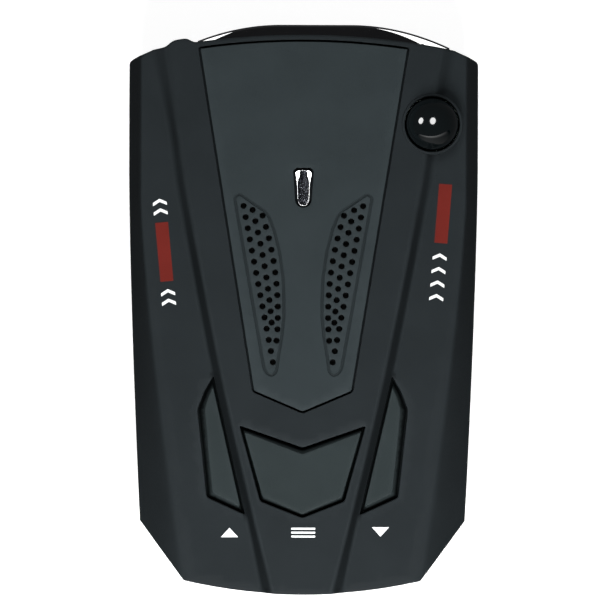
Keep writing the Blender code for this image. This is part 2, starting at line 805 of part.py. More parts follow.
def board_parts():
    foot = BOARD_TOP + GAP
    block("microcontroller", (-5.0, -24.5, foot), (5.0, -14.5, foot + 1.4), "chip")
    block("voice_chip", (8.5, -23.0, foot), (13.0, -17.0, foot + 1.6), "chip")
    block("amplifier_chip", (-12.5, -23.0, foot), (-8.5, -18.0, foot + 1.6), "chip")
    block("crystal", (5.5, -44.0, foot), (11.0, -41.5, foot + 2.6), "steel")
    block("voltage_regulator", (-19.5, 29.0, foot), (-13.0, 35.0, foot + 2.3), "chip")
    cylinder("input_capacitor", (-16.5, 41.0, 0), 2.9, foot, foot + 5.0, "steel", 14)
    cylinder("filter_capacitor", (16.5, 33.0, 0), 2.0, foot, foot + 4.4, "steel", 14)
    shield = block("mixer_shield", (-10.0, 21.5, foot), (10.0, 38.5, foot + 3.8), "steel")
    inside = block("shield_inside", (-9.5, 22.0, foot - 1.0), (9.5, 38.0, foot + 3.3))
    combine(shield, "DIFFERENCE", inside)


def horn_antenna():
    def rectangle_at(y, half, low, high):
        return [(-half, y, low), (half, y, low), (half, y, high), (-half, y, high)]

    outside = ((12.0, 6.0, 5.0, 11.0), (24.0, 6.0, 5.0, 11.0), (46.0, 12.0, 3.5, 12.4))
    inside = ((13.0, 5.2, 5.8, 10.2), (24.0, 5.2, 5.8, 10.2), (46.2, 11.2, 4.3, 11.6))
    horn = add("horn_antenna", skin([rectangle_at(*station) for station in outside]), "steel")
    cavity = add("horn_inside", skin([rectangle_at(*station) for station in inside]))
    combine(horn, "DIFFERENCE", cavity)


def power_socket():
    low = (SOCKET_X - 3.8, 41.0, BOARD_TOP + GAP)
    jack = block("dc_jack", low, (SOCKET_X + 3.8, 49.7, 20.0), "chip")
    centre = (SOCKET_X, 0, SOCKET_Z)
    bore = cylinder("jack_bore", centre, SOCKET_BORE_RADIUS, 43.0, AHEAD, axis="Y", segments=12)
    combine(jack, "DIFFERENCE", bore)
    cylinder("dc_jack_pin", centre, SOCKET_PIN_RADIUS, 43.3, 49.4, "brass", 10, axis="Y")


def screws():
    for number, centre in enumerate(COVER_SCREWS):
        path = ((0.0, 2.0), (1.6, 2.0), (2.0, 2.4), (2.0, 3.7), (1.0, 3.7), (1.0, 16.6), (0.0, 17.2))
        turned(f"cover_screw_{number + 1}", path, (*centre, 0), "steel", 12)
    head = BOARD_TOP + GAP
    for number, centre in enumerate(BOARD_SCREWS):
        path = ((0.0, head + 1.2), (1.5, head + 1.2), (1.9, head), (0.8, head), (0.8, 6.0), (0.0, 5.4))
        turned(f"board_screw_{number + 1}", path, (*centre, 0), "steel", 12)


def main():
    clear_scene()
    top_cover()
    bottom_cover()
    speaker_panel()
    accent()
    laser_dome()
    front_window()
    display()
    keys()
    speaker()
    main_board()
    board_parts()
    horn_antenna()
    power_socket()
    screws()
    prism("non_slip_pad", pad_outline(0.0), 0.0, PAD_TOP, "rubber")


main()
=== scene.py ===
import math

import bmesh
import bpy
import numpy as np
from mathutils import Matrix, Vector
from mathutils.geometry import delaunay_2d_cdt


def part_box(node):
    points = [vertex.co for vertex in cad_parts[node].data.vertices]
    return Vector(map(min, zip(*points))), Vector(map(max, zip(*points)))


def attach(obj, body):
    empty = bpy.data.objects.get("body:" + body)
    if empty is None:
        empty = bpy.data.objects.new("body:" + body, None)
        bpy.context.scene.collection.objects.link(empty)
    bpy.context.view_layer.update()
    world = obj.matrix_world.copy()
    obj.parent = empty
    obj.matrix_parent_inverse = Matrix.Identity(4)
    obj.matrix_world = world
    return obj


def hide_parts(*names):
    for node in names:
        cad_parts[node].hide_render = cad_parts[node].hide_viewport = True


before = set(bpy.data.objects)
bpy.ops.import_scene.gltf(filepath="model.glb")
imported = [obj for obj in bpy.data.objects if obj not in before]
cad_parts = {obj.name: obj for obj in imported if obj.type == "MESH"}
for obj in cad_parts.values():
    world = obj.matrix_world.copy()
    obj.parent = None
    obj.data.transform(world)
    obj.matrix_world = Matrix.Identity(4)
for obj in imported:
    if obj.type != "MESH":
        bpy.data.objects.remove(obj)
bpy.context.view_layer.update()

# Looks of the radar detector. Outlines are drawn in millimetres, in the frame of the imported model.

MM = 0.001


def box_mm(node):
    low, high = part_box(node)
    return [v / MM for v in low], [v / MM for v in high]


def low_of(node):
    return box_mm(node)[0][2]


def top_of(node):
    return box_mm(node)[1][2]


# Levels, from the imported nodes, and the gap between neighbours
PARTING = low_of("top_cover")
UNDERSIDE = low_of("bottom_cover")
PANEL_LOW, HUMP_TOP = low_of("center_panel"), top_of("center_panel")
BOSS_TOP = top_of("top_cover")
PAD_LOW, PAD_TOP = low_of("non_slip_pad"), top_of("non_slip_pad")
KEY_PROUD = top_of("menu_key") - HUMP_TOP
WING_TOP = top_of("up_key") - KEY_PROUD
GAP = 0.3

# Plan of the housing
HALF_WIDTH = 35.0
REAR_HALF_WIDTH = 32.6
SIDE_TAPER_FROM = 28.0
CHAMFER_FRONT = -42.5
CHAMFER_REAR = (23.6, -54.2)
SIDE_POWER = 1.45
REAR_CORNER = 0.8
FRONT_LIP = 54.6
FRONT_CORNER = ((32.0, 50.7), (34.1, 49.9), (34.75, 49.55), (35.0, 49.1))
LIP_SPAN = 30.0
LIP_DROP = 3.0
REAR_EDGE = -56.9
REAR_DROP = 2.7
BAND_HALF_WIDTH = 32.55
BAND_TAPER_FROM = 22.0
BAND_TAPER = 0.028
BAND_POWER = 1.32
STEP = (
    (70.0, 34.1, 31.5),
    (51.6, 29.7, 27.7),
    (36.2, 26.6, 25.3),
    (23.6, 24.9, 23.3),
    (-13.4, 17.9, 16.1),
    (-40.8, 11.3, 9.8),
    (-56.4, 8.0, 5.9),
    (-70.0, 5.1, 2.6),
)
SOCKET_X = -24.3
SOCKET_Z = 17.4
SOCKET_RADIUS = 2.2
SOCKET_SPAN = (45.0, 60.0)
BULGE_X = -24.7
BULGE_REACH = 1.05
BULGE_WIDTH = 2.3
WALL = 1.8
SIDE_FOOT = 0.6

# Details
PANEL_FRONT = (20.8, 51.9)
PANEL_CROWN = 53.4
PANEL_REAR = (9.85, -16.4)
PANEL_APEX = -20.6
SEAM = 0.2
GRILLE = (
    (-12.75, 22.9), (-13.7, 22.2), (-7.75, -11.7), (-7.15, -12.8), (-6.1, -13.3), (-5.25, -12.5),
    (-4.85, -9.4), (-4.2, -5.5), (-3.8, -1.7), (-3.8, 1.8), (-3.95, 6.0), (-4.7, 11.4), (-5.8, 15.7),
    (-6.8, 18.3), (-7.6, 19.4),
)
HOLE_RADIUS = 0.6
OUTER_ROW = (-11.9, 20.5)
OUTER_LEAN = 0.1916
INNER_ROW = (-5.0, -1.0)
INNER_BEND = 0.00807
ACCENT_TOP = 28.1
ACCENT_BOTTOM = 20.2
ACCENT_HALF_WIDTHS = (2.02, 1.65)
ACCENT_CORNER = 0.9
BOSS_RADIUS = 6.05
KEY_CLEARANCE = 0.35
POCKET_CORNER = 0.55
SIDE_POCKET = (
    (-17.8, -13.3), (-19.7, -16.6), (-21.0, -20.1), (-20.0, -29.3), (-19.1, -37.6), (-11.4, -41.1),
)
SIDE_CAP = ((-17.9, -15.6), (-18.8, -17.6), (-19.5, -19.9), (-18.7, -29.3), (-17.9, -36.7), (-12.4, -39.4))
MENU_POCKET = ((-12.6, -23.2), (-8.4, -38.3), (0.0, -41.6), (8.4, -38.3), (12.6, -23.2), (0.0, -27.6))
MENU_CAP = ((-11.6, -24.5), (-7.9, -37.4), (0.0, -40.8), (7.9, -37.4), (11.6, -24.5), (0.0, -28.9))
WINDOW_X = (-21.2, 29.1)
WINDOW_MIDDLE = 2.5
WINDOW_FLAT = 7.0
WINDOW_REACH = 56.8
WINDOW_CURVE = 0.0118
DISPLAY_HALF_WIDTH = 15.6
WALL_STEP = 0.03
HAIR = WALL_STEP / 2
NOTCH_LEFT, NOTCH_RIGHT = WINDOW_X[0] - GAP, WINDOW_X[1] + GAP
FRONT_STOPS = (NOTCH_LEFT - WALL_STEP, NOTCH_LEFT, NOTCH_RIGHT, NOTCH_RIGHT + WALL_STEP)
DISPLAY_STOP = DISPLAY_HALF_WIDTH + GAP
REAR_STOPS = (-DISPLAY_STOP - WALL_STEP, -DISPLAY_STOP, DISPLAY_STOP, DISPLAY_STOP + WALL_STEP)


# ---- outlines

def arc_table(column):
    """The step's edge as a dense smooth curve through its rows: heights along y, and x there."""
    rows = [(row[0], row[column]) for row in reversed(STEP)]
    ys, xs = [], []
    for i in range(1, len(rows) - 2):
        (y0, v0), (y1, v1), (y2, v2), (y3, v3) = rows[i - 1 : i + 3]
        t = np.linspace(0.0, 1.0, 40, endpoint=False)
        a = (v2 - v0) / (y2 - y0) * (y2 - y1)
        b = (v3 - v1) / (y3 - y1) * (y2 - y1)
        ys.append(y1 + (y2 - y1) * t)
        xs.append((2 * t**3 - 3 * t**2 + 1) * v1 + (t**3 - 2 * t**2 + t) * a
                  + (3 * t**2 - 2 * t**3) * v2 + (t**3 - t**2) * b)
    return np.concatenate(ys), np.concatenate(xs)


STEP_LOW = arc_table(1)
STEP_HIGH = arc_table(2)


def extended(y, table):
    """Reads a curve, and runs it on straight past its ends."""
    ys, xs = table
    inside_part = np.interp(y, ys, xs)
    before = (xs[1] - xs[0]) / (ys[1] - ys[0]) * np.minimum(y - ys[0], 0.0)
    after = (xs[-1] - xs[-2]) / (ys[-1] - ys[-2]) * np.maximum(y - ys[-1], 0.0)
    return inside_part + before + after


def half_width(y):
    along = np.maximum(0.0, SIDE_TAPER_FROM - y) / (SIDE_TAPER_FROM - CHAMFER_FRONT)
    return HALF_WIDTH - (HALF_WIDTH - REAR_HALF_WIDTH) * along**SIDE_POWER


def band(y):
    return BAND_HALF_WIDTH - BAND_TAPER * np.maximum(0.0, BAND_TAPER_FROM - y) ** BAND_POWER


def lip(x):
    return FRONT_LIP - LIP_DROP * (x / LIP_SPAN) ** 2


def bulged_lip(x):
    return lip(x) + BULGE_REACH * np.exp(-(((x - BULGE_X) / BULGE_WIDTH) ** 4))


def rear(x):
    return REAR_EDGE + REAR_DROP * (x / CHAMFER_REAR[0]) ** 2


def window_front(x):
    return WINDOW_REACH - WINDOW_CURVE * np.maximum(0.0, np.abs(x - WINDOW_MIDDLE) - WINDOW_FLAT) ** 2


def points(xs, ys):
    return np.column_stack([xs, ys])


def with_stops(xs, stops):
    """Adds the places where an opening starts or ends, keeping the order."""
    found = np.unique(np.round(np.concatenate([xs, stops]), 6))
    return found if xs[0] < xs[-1] else found[::-1]


def housing_ends(edge):
    """Front line and rear line of the plan, each open, from right to left and from left to right."""
    xs = with_stops(np.linspace(LIP_SPAN, -LIP_SPAN, 161), FRONT_STOPS)
    front = np.vstack([FRONT_CORNER[::-1], points(xs, edge(xs)), [(-x, y) for x, y in FRONT_CORNER]])
    reach = CHAMFER_REAR[0]
    xs = with_stops(np.linspace(-reach, reach, 81), REAR_STOPS)
    start = (REAR_HALF_WIDTH, CHAMFER_FRONT)
    back = np.vstack([[(-start[0], start[1])], points(xs, rear(xs)), [start]])
    return front, soft_corners(back, REAR_CORNER, closed=False)


def housing_outline(edge):
    front, back = housing_ends(edge)
    ys = np.linspace(front[-1][1], back[0][1], 121)[1:-1]
    left = points(-half_width(ys), ys)
    right = points(half_width(ys[::-1]), ys[::-1])
    return resample(np.vstack([front, left, back, right]), 0.9)


STRAIGHT = math.radians(9)
CORNER_SHARE = 0.45


def soft_corners(line, reach, closed=True, steps=6):
    """Rounds every clear corner of a line with a short curve, which starts a reach before the corner."""
    line = np.asarray(line, float)
    out = []
    count = len(line)
    for i in range(count):
        if not closed and i in (0, count - 1):
            out.append(line[i])
            continue
        p, a, b = line[i], line[i - 1] - line[i], line[(i + 1) % count] - line[i]
        la, lb = np.linalg.norm(a), np.linalg.norm(b)
        bend = math.acos(max(-1.0, min(1.0, float(-a.dot(b) / (la * lb)))))
        r = min(reach, CORNER_SHARE * la, CORNER_SHARE * lb)
        if bend < STRAIGHT or r < 0.02:
            out.append(p)
            continue
        for t in np.linspace(0.0, 1.0, steps):
            out.append((1 - t) ** 2 * (p + a / la * r) + 2 * t * (1 - t) * p + t * t * (p + b / lb * r))
    return np.array(out)


def resample(line, longest):
    """Splits long stretches of a closed line, so that none is longer than the length given."""
    out = []
    for a, b in zip(line, np.roll(line, -1, axis=0)):
        parts = max(1, math.ceil(float(np.linalg.norm(b - a)) / longest))
        out.extend(a + (b - a) * k / parts for k in range(parts))
    return np.array(out)


def offset(line, distance):
    """Moves a counter-clockwise outline outward."""
    line = np.asarray(line, float)
    before = line - np.roll(line, 1, axis=0)
    after = np.roll(line, -1, axis=0) - line
    a = np.column_stack([before[:, 1], -before[:, 0]])
    b = np.column_stack([after[:, 1], -after[:, 0]])
    a /= np.maximum(np.linalg.norm(a, axis=1, keepdims=True), 1e-9)
    b /= np.maximum(np.linalg.norm(b, axis=1, keepdims=True), 1e-9)
    spread = np.maximum(1.0 + np.sum(a * b, axis=1, keepdims=True), 0.4)
    return line + (a + b) * distance / spread


def mirrored(line):
    line = np.asarray(line, float)[::-1].copy()
    line[:, 0] *= -1
    return line


def circle(x, y, radius, count):
    angle = np.linspace(0, 2 * math.pi, count, endpoint=False)
    return points(x + radius * np.cos(angle), y + radius * np.sin(angle))


def panel_outline():
    xs = np.linspace(PANEL_FRONT[0], -PANEL_FRONT[0], 61)
    top = points(xs, PANEL_CROWN - (PANEL_CROWN - PANEL_FRONT[1]) * (xs / PANEL_FRONT[0]) ** 2)
    rest = [(-PANEL_REAR[0], PANEL_REAR[1]), (0.0, PANEL_APEX), PANEL_REAR]
    return soft_corners(np.vstack([top, rest]), 0.55)


def grille_outline():
    return resample(soft_corners(soft_corners(GRILLE, 1.0), 0.4), 0.7)


def accent_outline():
    wide, narrow = ACCENT_HALF_WIDTHS
    corner = ACCENT_CORNER
    top_y = ACCENT_TOP - corner
    turn = np.linspace(0, math.pi / 2, 10)
    right = points(wide - corner + corner * np.cos(turn), top_y + corner * np.sin(turn))
    turn = turn + math.pi / 2
    left = points(corner - wide + corner * np.cos(turn), top_y + corner * np.sin(turn))
    turn = np.linspace(math.pi, 2 * math.pi, 28)
    foot = points(narrow * np.cos(turn), ACCENT_BOTTOM + narrow + narrow * np.sin(turn))
    return resample(np.vstack([right, left, foot]), 0.4)


def outer_row(y):
    return OUTER_ROW[0] + OUTER_LEAN * (OUTER_ROW[1] - y)


def inner_row(y):
    return INNER_ROW[0] - INNER_BEND * (y - INNER_ROW[1]) ** 2


def middle_row(y):
    return (outer_row(y) + inner_row(y)) / 2


def grille_holes():
    """Holes of the left grille, in three rows: first and last place along y, and how many."""
    rows = ((outer_row, OUTER_ROW[1], -10.6, 15), (inner_row, 18.6, -6.3, 12), (middle_row, 19.7, -2.7, 11))
    places = [(row, y) for row, high, low, count in rows for y in np.linspace(high, low, count)]
    return [(float(row(y)), float(y)) for row, y in places]


# ---- fields

def in_chunks(function, x, y, size=4000):
    return np.concatenate([function(x[i : i + size], y[i : i + size]) for i in range(0, len(x), size)])


def distance(x, y, line, closed=True):
    """Distance from each point to a line."""
    a = np.asarray(line, float)
    b = np.roll(a, -1, axis=0)
    if not closed:
        a, b = a[:-1], b[:-1]
    d = b - a
    length = np.maximum(np.sum(d * d, axis=1), 1e-12)

    def part(px, py):
        qx = px[:, None] - a[None, :, 0]
        qy = py[:, None] - a[None, :, 1]
        t = np.clip((qx * d[:, 0] + qy * d[:, 1]) / length, 0.0, 1.0)
        return np.sqrt(np.min((qx - t * d[:, 0]) ** 2 + (qy - t * d[:, 1]) ** 2, axis=1))

    return in_chunks(part, x, y)


def inside(x, y, line):
    a = np.asarray(line, float)
    b = np.roll(a, -1, axis=0)
    rise = b[:, 1] - a[:, 1]
    rise = np.where(rise == 0, 1e-12, rise)

    def part(px, py):
        over = (a[None, :, 1] > py[:, None]) != (b[None, :, 1] > py[:, None])
        cross = a[:, 0] + (py[:, None] - a[None, :, 1]) / rise * (b[:, 0] - a[:, 0])
        return np.sum(over & (px[:, None] < cross), axis=1) % 2 == 1

    return in_chunks(part, x, y)


def within(at, loops):
    """Which points lie inside the first loop and outside the others."""
    keep = inside(at[:, 0], at[:, 1], loops[0])
    for hole in loops[1:]:
        keep &= ~inside(at[:, 0], at[:, 1], hole)
    return keep


def signed_distance(x, y, line):
    """Distance to a closed line, below zero inside it."""
    return distance(x, y, line) * np.where(inside(x, y, line), -1.0, 1.0)


def smooth_min(a, b, reach):
    h = np.maximum(reach - np.abs(a - b), 0.0) / reach
    return np.minimum(a, b) - h * h * reach / 4


def smooth_max(a, b, reach):
    return -smooth_min(-a, -b, reach)


def rounding(d, radius):
    """How far a rounded edge has dropped at a distance from the edge."""
    d = np.clip(d, 0.0, radius)
    return radius - np.sqrt(np.maximum(radius**2 - (radius - d) ** 2, 0.0))


def fillet_steps(radius, steps):
    return [radius * (1 - math.cos(math.pi / 2 * k / steps)) for k in range(1, steps + 1)]


# ---- meshes

def added(name, data):
    """A new object in the scene."""
    obj = bpy.data.objects.new(name, data)
    bpy.context.scene.collection.objects.link(obj)
    return obj


def new_object(name, verts, faces, sharp=35.0):
    mesh = bpy.data.meshes.new(name)
    mesh.from_pydata((np.asarray(verts, float) * MM).tolist(), [], faces)
    mesh.update()
    mesh.shade_smooth()
    mesh.set_sharp_from_angle(angle=math.radians(sharp))
    return added(name, mesh)


ROW_PITCH = 0.866


def slab(name, outer, top, low, holes=(), lines=(), open_lines=(), spacing=1.6, sharp=35.0, edge=None):
    """A closed piece over a plan, with its upper and lower heights given by functions of x and y.

    The edge function gives each point wear and painted highlight, up to 1, or painted shade in gaps, seams
    and on steps, down to -1.
    """
    loops = [np.asarray(line, float) for line in (outer, *holes)]
    verts, edges = [], []
    for line, closed in [(v, True) for v in (*loops, *lines)] + [(v, False) for v in open_lines]:
        start = len(verts)
        verts.extend(line.tolist())
        edges.extend((start + i, start + i + 1) for i in range(len(line) - 1))
        if closed:
            edges.append((start + len(line) - 1, start))
    drawn = np.array(verts)
    (x0, y0), (x1, y1) = loops[0].min(axis=0), loops[0].max(axis=0)
    rows = np.arange(y0, y1, spacing * ROW_PITCH)
    columns = np.arange(x0, x1, spacing)
    grid = np.array([(x + spacing / 2 * (i % 2), y) for i, y in enumerate(rows) for x in columns])

    def nearest(px, py):
        gap = (px[:, None] - drawn[None, :, 0]) ** 2 + (py[:, None] - drawn[None, :, 1]) ** 2
        return np.sqrt(gap.min(axis=1))

    if len(grid):
        grid = grid[within(grid, loops)]
    if len(grid):
        grid = grid[in_chunks(nearest, grid[:, 0], grid[:, 1], 1000) > spacing * 0.5]
        verts.extend(grid.tolist())
    result = delaunay_2d_cdt([Vector(v) for v in verts], edges, [], 0, 1e-5)
    flat = np.array([tuple(v) for v in result[0]])
    tris = np.array([f for f in result[2] if len(f) == 3])
    a, b, c = flat[tris[:, 0]], flat[tris[:, 1]], flat[tris[:, 2]]
    area = (b[:, 0] - a[:, 0]) * (c[:, 1] - a[:, 1]) - (b[:, 1] - a[:, 1]) * (c[:, 0] - a[:, 0])
    tris[area < 0] = tris[area < 0][:, ::-1]
    middle = (a + b + c) / 3
    tris = tris[within(middle, loops) & (np.abs(area) > 1e-9)]
    used = np.unique(tris)
    renumber = np.zeros(len(flat), int)
    renumber[used] = np.arange(len(used))
    tris, flat = renumber[tris], flat[used]
    x, y = flat[:, 0], flat[:, 1]
    count = len(flat)
    cloud = np.vstack([np.column_stack([x, y, surface(x, y)]) for surface in (top, low)])
    directed = {(t[i], t[(i + 1) % 3]) for t in tris.tolist() for i in range(3)}
    walls = [(p + count, q + count, q, p) for p, q in directed if (q, p) not in directed]
    walls.sort()
    faces = tris.tolist() + (tris[:, ::-1] + count).tolist() + walls
    obj = new_object(name, cloud, faces, sharp)
    if edge is not None:
        # Wear and painted highlight above zero, painted shade below zero, kept as a point attribute.
        wear_light_shade = np.clip(edge(x, y), -1.0, 1.0)
        marks = obj.data.attributes.new("edge", "FLOAT", "POINT")
        marks.data.foreach_set("value", np.concatenate([wear_light_shade, np.minimum(wear_light_shade, 0.0)]))
    return obj


def level(z):
    return lambda x, y: np.full(len(x), float(z))


def turned(name, path, centre, segments, axis="Z"):
    """A closed piece turned from a path of (radius, height) that starts and ends on the axis."""
    verts, rings = [], []
    angle = np.linspace(0, 2 * math.pi, segments, endpoint=False)
    for radius, height in path:
        start = len(verts)
        if radius < 1e-6:
            verts.append((0.0, 0.0, height))
            rings.append([start])
        else:
            verts.extend(zip(radius * np.cos(angle), radius * np.sin(angle), [height] * segments))
            rings.append(list(range(start, start + segments)))
    faces = []
    for low, high in zip(rings, rings[1:]):
        for k in range(segments):
            n = (k + 1) % segments
            corners = [low[k % len(low)], low[n % len(low)], high[n % len(high)], high[k % len(high)]]
            faces.append(list(dict.fromkeys(corners)))
    verts = np.array(verts)
    if axis == "Y":
        verts = verts[:, [0, 2, 1]]
    obj = new_object(name, verts + np.array(centre), faces)
    bm = bmesh.new()
    bm.from_mesh(obj.data)
    bmesh.ops.recalc_face_normals(bm, faces=bm.faces)
    bm.to_mesh(obj.data)
    bm.free()
    return obj


def show(obj, body, slot, material, *nodes):
    """Puts a finished piece on its body, gives it its material and hides the nodes that it stands for. The
    slot is not used.
    """
    obj.data.materials.clear()
    obj.data.materials.append(material)
    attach(obj, body)
    if nodes:
        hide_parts(*nodes)
    return obj


# ---- materials

def new_material(name, shader="ShaderNodeBsdfPrincipled"):
    """An empty material, with its tree and its one shader."""
    mat = bpy.data.materials.new(name)
    mat.use_nodes = True
    tree = mat.node_tree
    tree.nodes.clear()
    made = node(tree, shader, {}, None)
    node(tree, "ShaderNodeOutputMaterial", {"Surface": made.outputs[0]}, None)
    return mat, tree, made


def fill(tree, made, values):
    """Sets or links a node's inputs."""
    for key, value in values.items():
        if isinstance(value, bpy.types.NodeSocket):
            tree.links.new(value, made.inputs[key])
        else:
            made.inputs[key].default_value = value


def node(tree, kind, inputs, output=0, **settings):
    """Adds a node, fills its inputs, and returns one of its outputs, or the node itself."""
    made = tree.nodes.new(kind)
    for key, value in settings.items():
        setattr(made, key, value)
    fill(tree, made, inputs)
    return made if output is None else made.outputs[output]


def coords(tree, stretch=(1.0, 1.0, 1.0)):
    """Places on the piece, in millimetres."""
    here = node(tree, "ShaderNodeTexCoord", {}, "Object")
    return node(tree, "ShaderNodeMapping", {"Vector": here, "Scale": tuple(s / MM for s in stretch)})


def noise(tree, place, size, detail=3.0):
    inputs = {"Vector": place, "Scale": 1 / size, "Detail": detail, "Roughness": 0.55}
    return node(tree, "ShaderNodeTexNoise", inputs)


def remap(tree, value, low, high, start=0.3, stop=0.7):
    inputs = {"Value": value, "From Min": start, "From Max": stop, "To Min": low, "To Max": high}
    return node(tree, "ShaderNodeMapRange", inputs)


def mix(tree, factor, a, b):
    return node(tree, "ShaderNodeMix", {0: factor, 6: a, 7: b}, 2, data_type="RGBA")


def math_node(tree, operation, a, b=0.0):
    return node(tree, "ShaderNodeMath", {0: a, 1: b}, operation=operation)


def bump(tree, height, depth):
    return node(tree, "ShaderNodeBump", {"Height": height, "Distance": depth * MM, "Strength": 1.0})


def rgb(*value):
    """A linear colour from one shown as 0 to 255."""
    return (*((((c / 255 + 0.055) / 1.055) ** 2.4) if c > 10 else c / 255 / 12.92 for c in value), 1.0)


def scaled(colour, factor):
    return (*(min(1.0, c * factor) for c in colour[:3]), 1.0)


def finish(name, colour, rough, grain=0.3, depth=0.02, tint=0.08, blotch=9.0, spread=0.06, wear_and_painted_light=0.0,
           stretch=(1.0, 1.0, 1.0), sockets=None):
    """Moulded or milled material: fine grain in the relief and the gloss, clouded colour, edges lightened
    by wear and painted highlight, painted shade in gaps.
    """
    mat, tree, bsdf = new_material(name)
    place = coords(tree, stretch)
    fine = noise(tree, place, grain, 2.0)
    cloud = noise(tree, place, blotch, 4.0)
    shade = mix(tree, remap(tree, cloud, 0.0, 1.0), scaled(colour, 1 - tint), scaled(colour, 1 + tint))
    shade = mix(tree, remap(tree, fine, 0.0, 0.35), shade, scaled(colour, 1 + 2.5 * tint))
    if wear_and_painted_light:
        edge = node(tree, "ShaderNodeAttribute", {}, "Fac", attribute_name="edge")
        # Edges above zero are lightened in patches: wear together with painted highlight.
        patches = remap(tree, noise(tree, place, 2.4), 0.2, 1.0)
        rubbed_and_lit = math_node(tree, "MULTIPLY", math_node(tree, "MAXIMUM", edge), patches)
        shade = mix(tree, math_node(tree, "MULTIPLY", rubbed_and_lit, wear_and_painted_light), shade, scaled(colour, 2.6))
        # Points below zero are darkened: painted shade in gaps, seams, grooves and on steps.
        painted_shade = math_node(tree, "MULTIPLY", math_node(tree, "MINIMUM", edge), -0.85)
        shade = mix(tree, painted_shade, shade, scaled(colour, 0.1))
    gloss = math_node(tree, "ADD", remap(tree, fine, rough - spread, rough + spread),
                      remap(tree, cloud, -spread / 2, spread / 2))
    fill(tree, bsdf, {"Base Color": shade, "Roughness": gloss, **(sockets or {})})
    if depth:
        fill(tree, bsdf, {"Normal": bump(tree, fine, depth)})
    return mat


def cloth_material():
    mat, tree, bsdf = new_material("speaker_cloth")
    place = coords(tree)
    threads = [
        node(tree, "ShaderNodeTexWave", {"Vector": place, "Scale": 1.1, "Distortion": 0.4, "Detail": 1.0},
             "Fac", bands_direction=axis)
        for axis in "XY"
    ]
    weave = math_node(tree, "MULTIPLY", *threads)
    shade = mix(tree, weave, (0.004, 0.004, 0.004, 1), (0.014, 0.014, 0.015, 1))
    rough = remap(tree, noise(tree, place, 0.5), 0.85, 1.0)
    normal = bump(tree, weave, 0.1)
    fill(tree, bsdf, {"Base Color": shade, "Normal": normal, "Roughness": rough, "Sheen Weight": 0.15})
    return mat


def board_material():
    mat, tree, bsdf = new_material("solder_mask")
    place = coords(tree)
    tracks = node(tree, "ShaderNodeTexBrick",
                  {"Vector": place, "Scale": 0.45, "Mortar Size": 0.03, "Mortar Smooth": 0.2,
                   "Brick Width": 1.3, "Row Height": 0.5}, "Fac")
    green = mix(tree, noise(tree, place, 5.0), (0.006, 0.07, 0.03, 1), (0.01, 0.11, 0.045, 1))
    shade = mix(tree, tracks, green, (0.03, 0.2, 0.08, 1))
    rough = remap(tree, noise(tree, place, 0.8), 0.3, 0.42)
    fill(tree, bsdf, {"Base Color": shade, "Normal": bump(tree, tracks, 0.04), "Roughness": rough})
    return mat


def hammered_chrome():
    mat, tree, bsdf = new_material("grained_chrome")
    place = coords(tree)
    cells = node(tree, "ShaderNodeTexVoronoi", {"Vector": place, "Scale": 4.5}, "Distance")
    tone = mix(tree, remap(tree, cells, 0.0, 1.0, 0.12, 0.45), (0.8, 0.82, 0.88, 1), (0.07, 0.075, 0.09, 1))
    rough = remap(tree, noise(tree, place, 0.3), 0.12, 0.25)
    fill(tree, bsdf, {"Base Color": tone, "Normal": bump(tree, cells, 0.3), "Roughness": rough, **METAL})
    return mat


PLASTIC = {"Specular IOR Level": 0.12, "Coat Weight": 0.05, "Coat Roughness": 0.3}
SMOKED = {"IOR": 1.6, "Coat Weight": 0.3, "Coat Roughness": 0.03}
POLISHED = {"IOR": 1.7, "Coat Weight": 0.5, "Coat Roughness": 0.02}
CLEAR = {"Transmission Weight": 0.9, "IOR": 1.49}
METAL = {"Metallic": 1.0}
housing_mat = finish("housing_plastic", rgb(32, 36, 38), 0.64, wear_and_painted_light=0.35, sockets=PLASTIC)
panel_mat = finish("panel_plastic", rgb(42, 48, 50), 0.6, wear_and_painted_light=0.08, sockets=PLASTIC)
key_mat = finish("key_plastic", rgb(39, 45, 46), 0.58, wear_and_painted_light=0.15, sockets=PLASTIC)
GLOSSY = {"grain": 0.8, "depth": 0.0, "spread": 0.004}
gloss_mat = finish("smoked_gloss", rgb(9, 9, 10), 0.05, sockets=SMOKED, **GLOSSY)
dome_mat = finish("dome_gloss", rgb(4, 7, 8), 0.07, sockets=POLISHED, **GLOSSY)
chrome_mat = finish("chrome_trim", (0.78, 0.79, 0.8, 1), 0.1, grain=0.4, depth=0.01, tint=0.05, spread=0.04,
                    sockets=METAL)
grain_mat = hammered_chrome()
cloth_mat = cloth_material()
pad_mat = finish("pad_rubber", rgb(34, 34, 35), 0.75, grain=0.25, depth=0.04, tint=0.15, wear_and_painted_light=0.35)
rubber_mat = finish("trim_rubber", rgb(30, 30, 30), 0.7, depth=0.03)
red_wire_mat = finish("red_insulation", rgb(150, 24, 22), 0.45, grain=0.4)
board_mat = board_material()
chip_mat = finish("chip_plastic", rgb(32, 32, 33), 0.6, grain=0.15, depth=0.03)
red_mat = finish("switch_red", rgb(165, 28, 24), 0.35, grain=0.5, depth=0.01)
steel_mat = finish("steel", (0.5, 0.51, 0.52, 1), 0.32, grain=0.2, depth=0.015, stretch=(1, 8, 1),
                   spread=0.08, wear_and_painted_light=0.2, sockets=METAL)
can_mat = finish("capacitor_can", (0.6, 0.61, 0.62, 1), 0.3, grain=0.2, depth=0.01, stretch=(1, 1, 6),
                 sockets=METAL)
brass_mat = finish("brass_pin", (0.75, 0.55, 0.22, 1), 0.22, grain=0.2, depth=0.01, sockets=METAL)
resin_mat = finish("clear_resin", (0.7, 0.73, 0.8, 1), 0.06, grain=0.5, depth=0.005, tint=0.03, spread=0.02,
                   sockets=CLEAR)
paper_mat = finish("cone_paper", rgb(48, 46, 44), 0.85, grain=0.18, depth=0.06, tint=0.2, blotch=1.5)
white_mat = finish("print_white", rgb(225, 228, 228), 0.5, grain=0.2, depth=0.01, tint=0.03)
red_print_mat = finish("print_red", rgb(92, 30, 25), 0.5, grain=0.2, depth=0.01, tint=0.12)

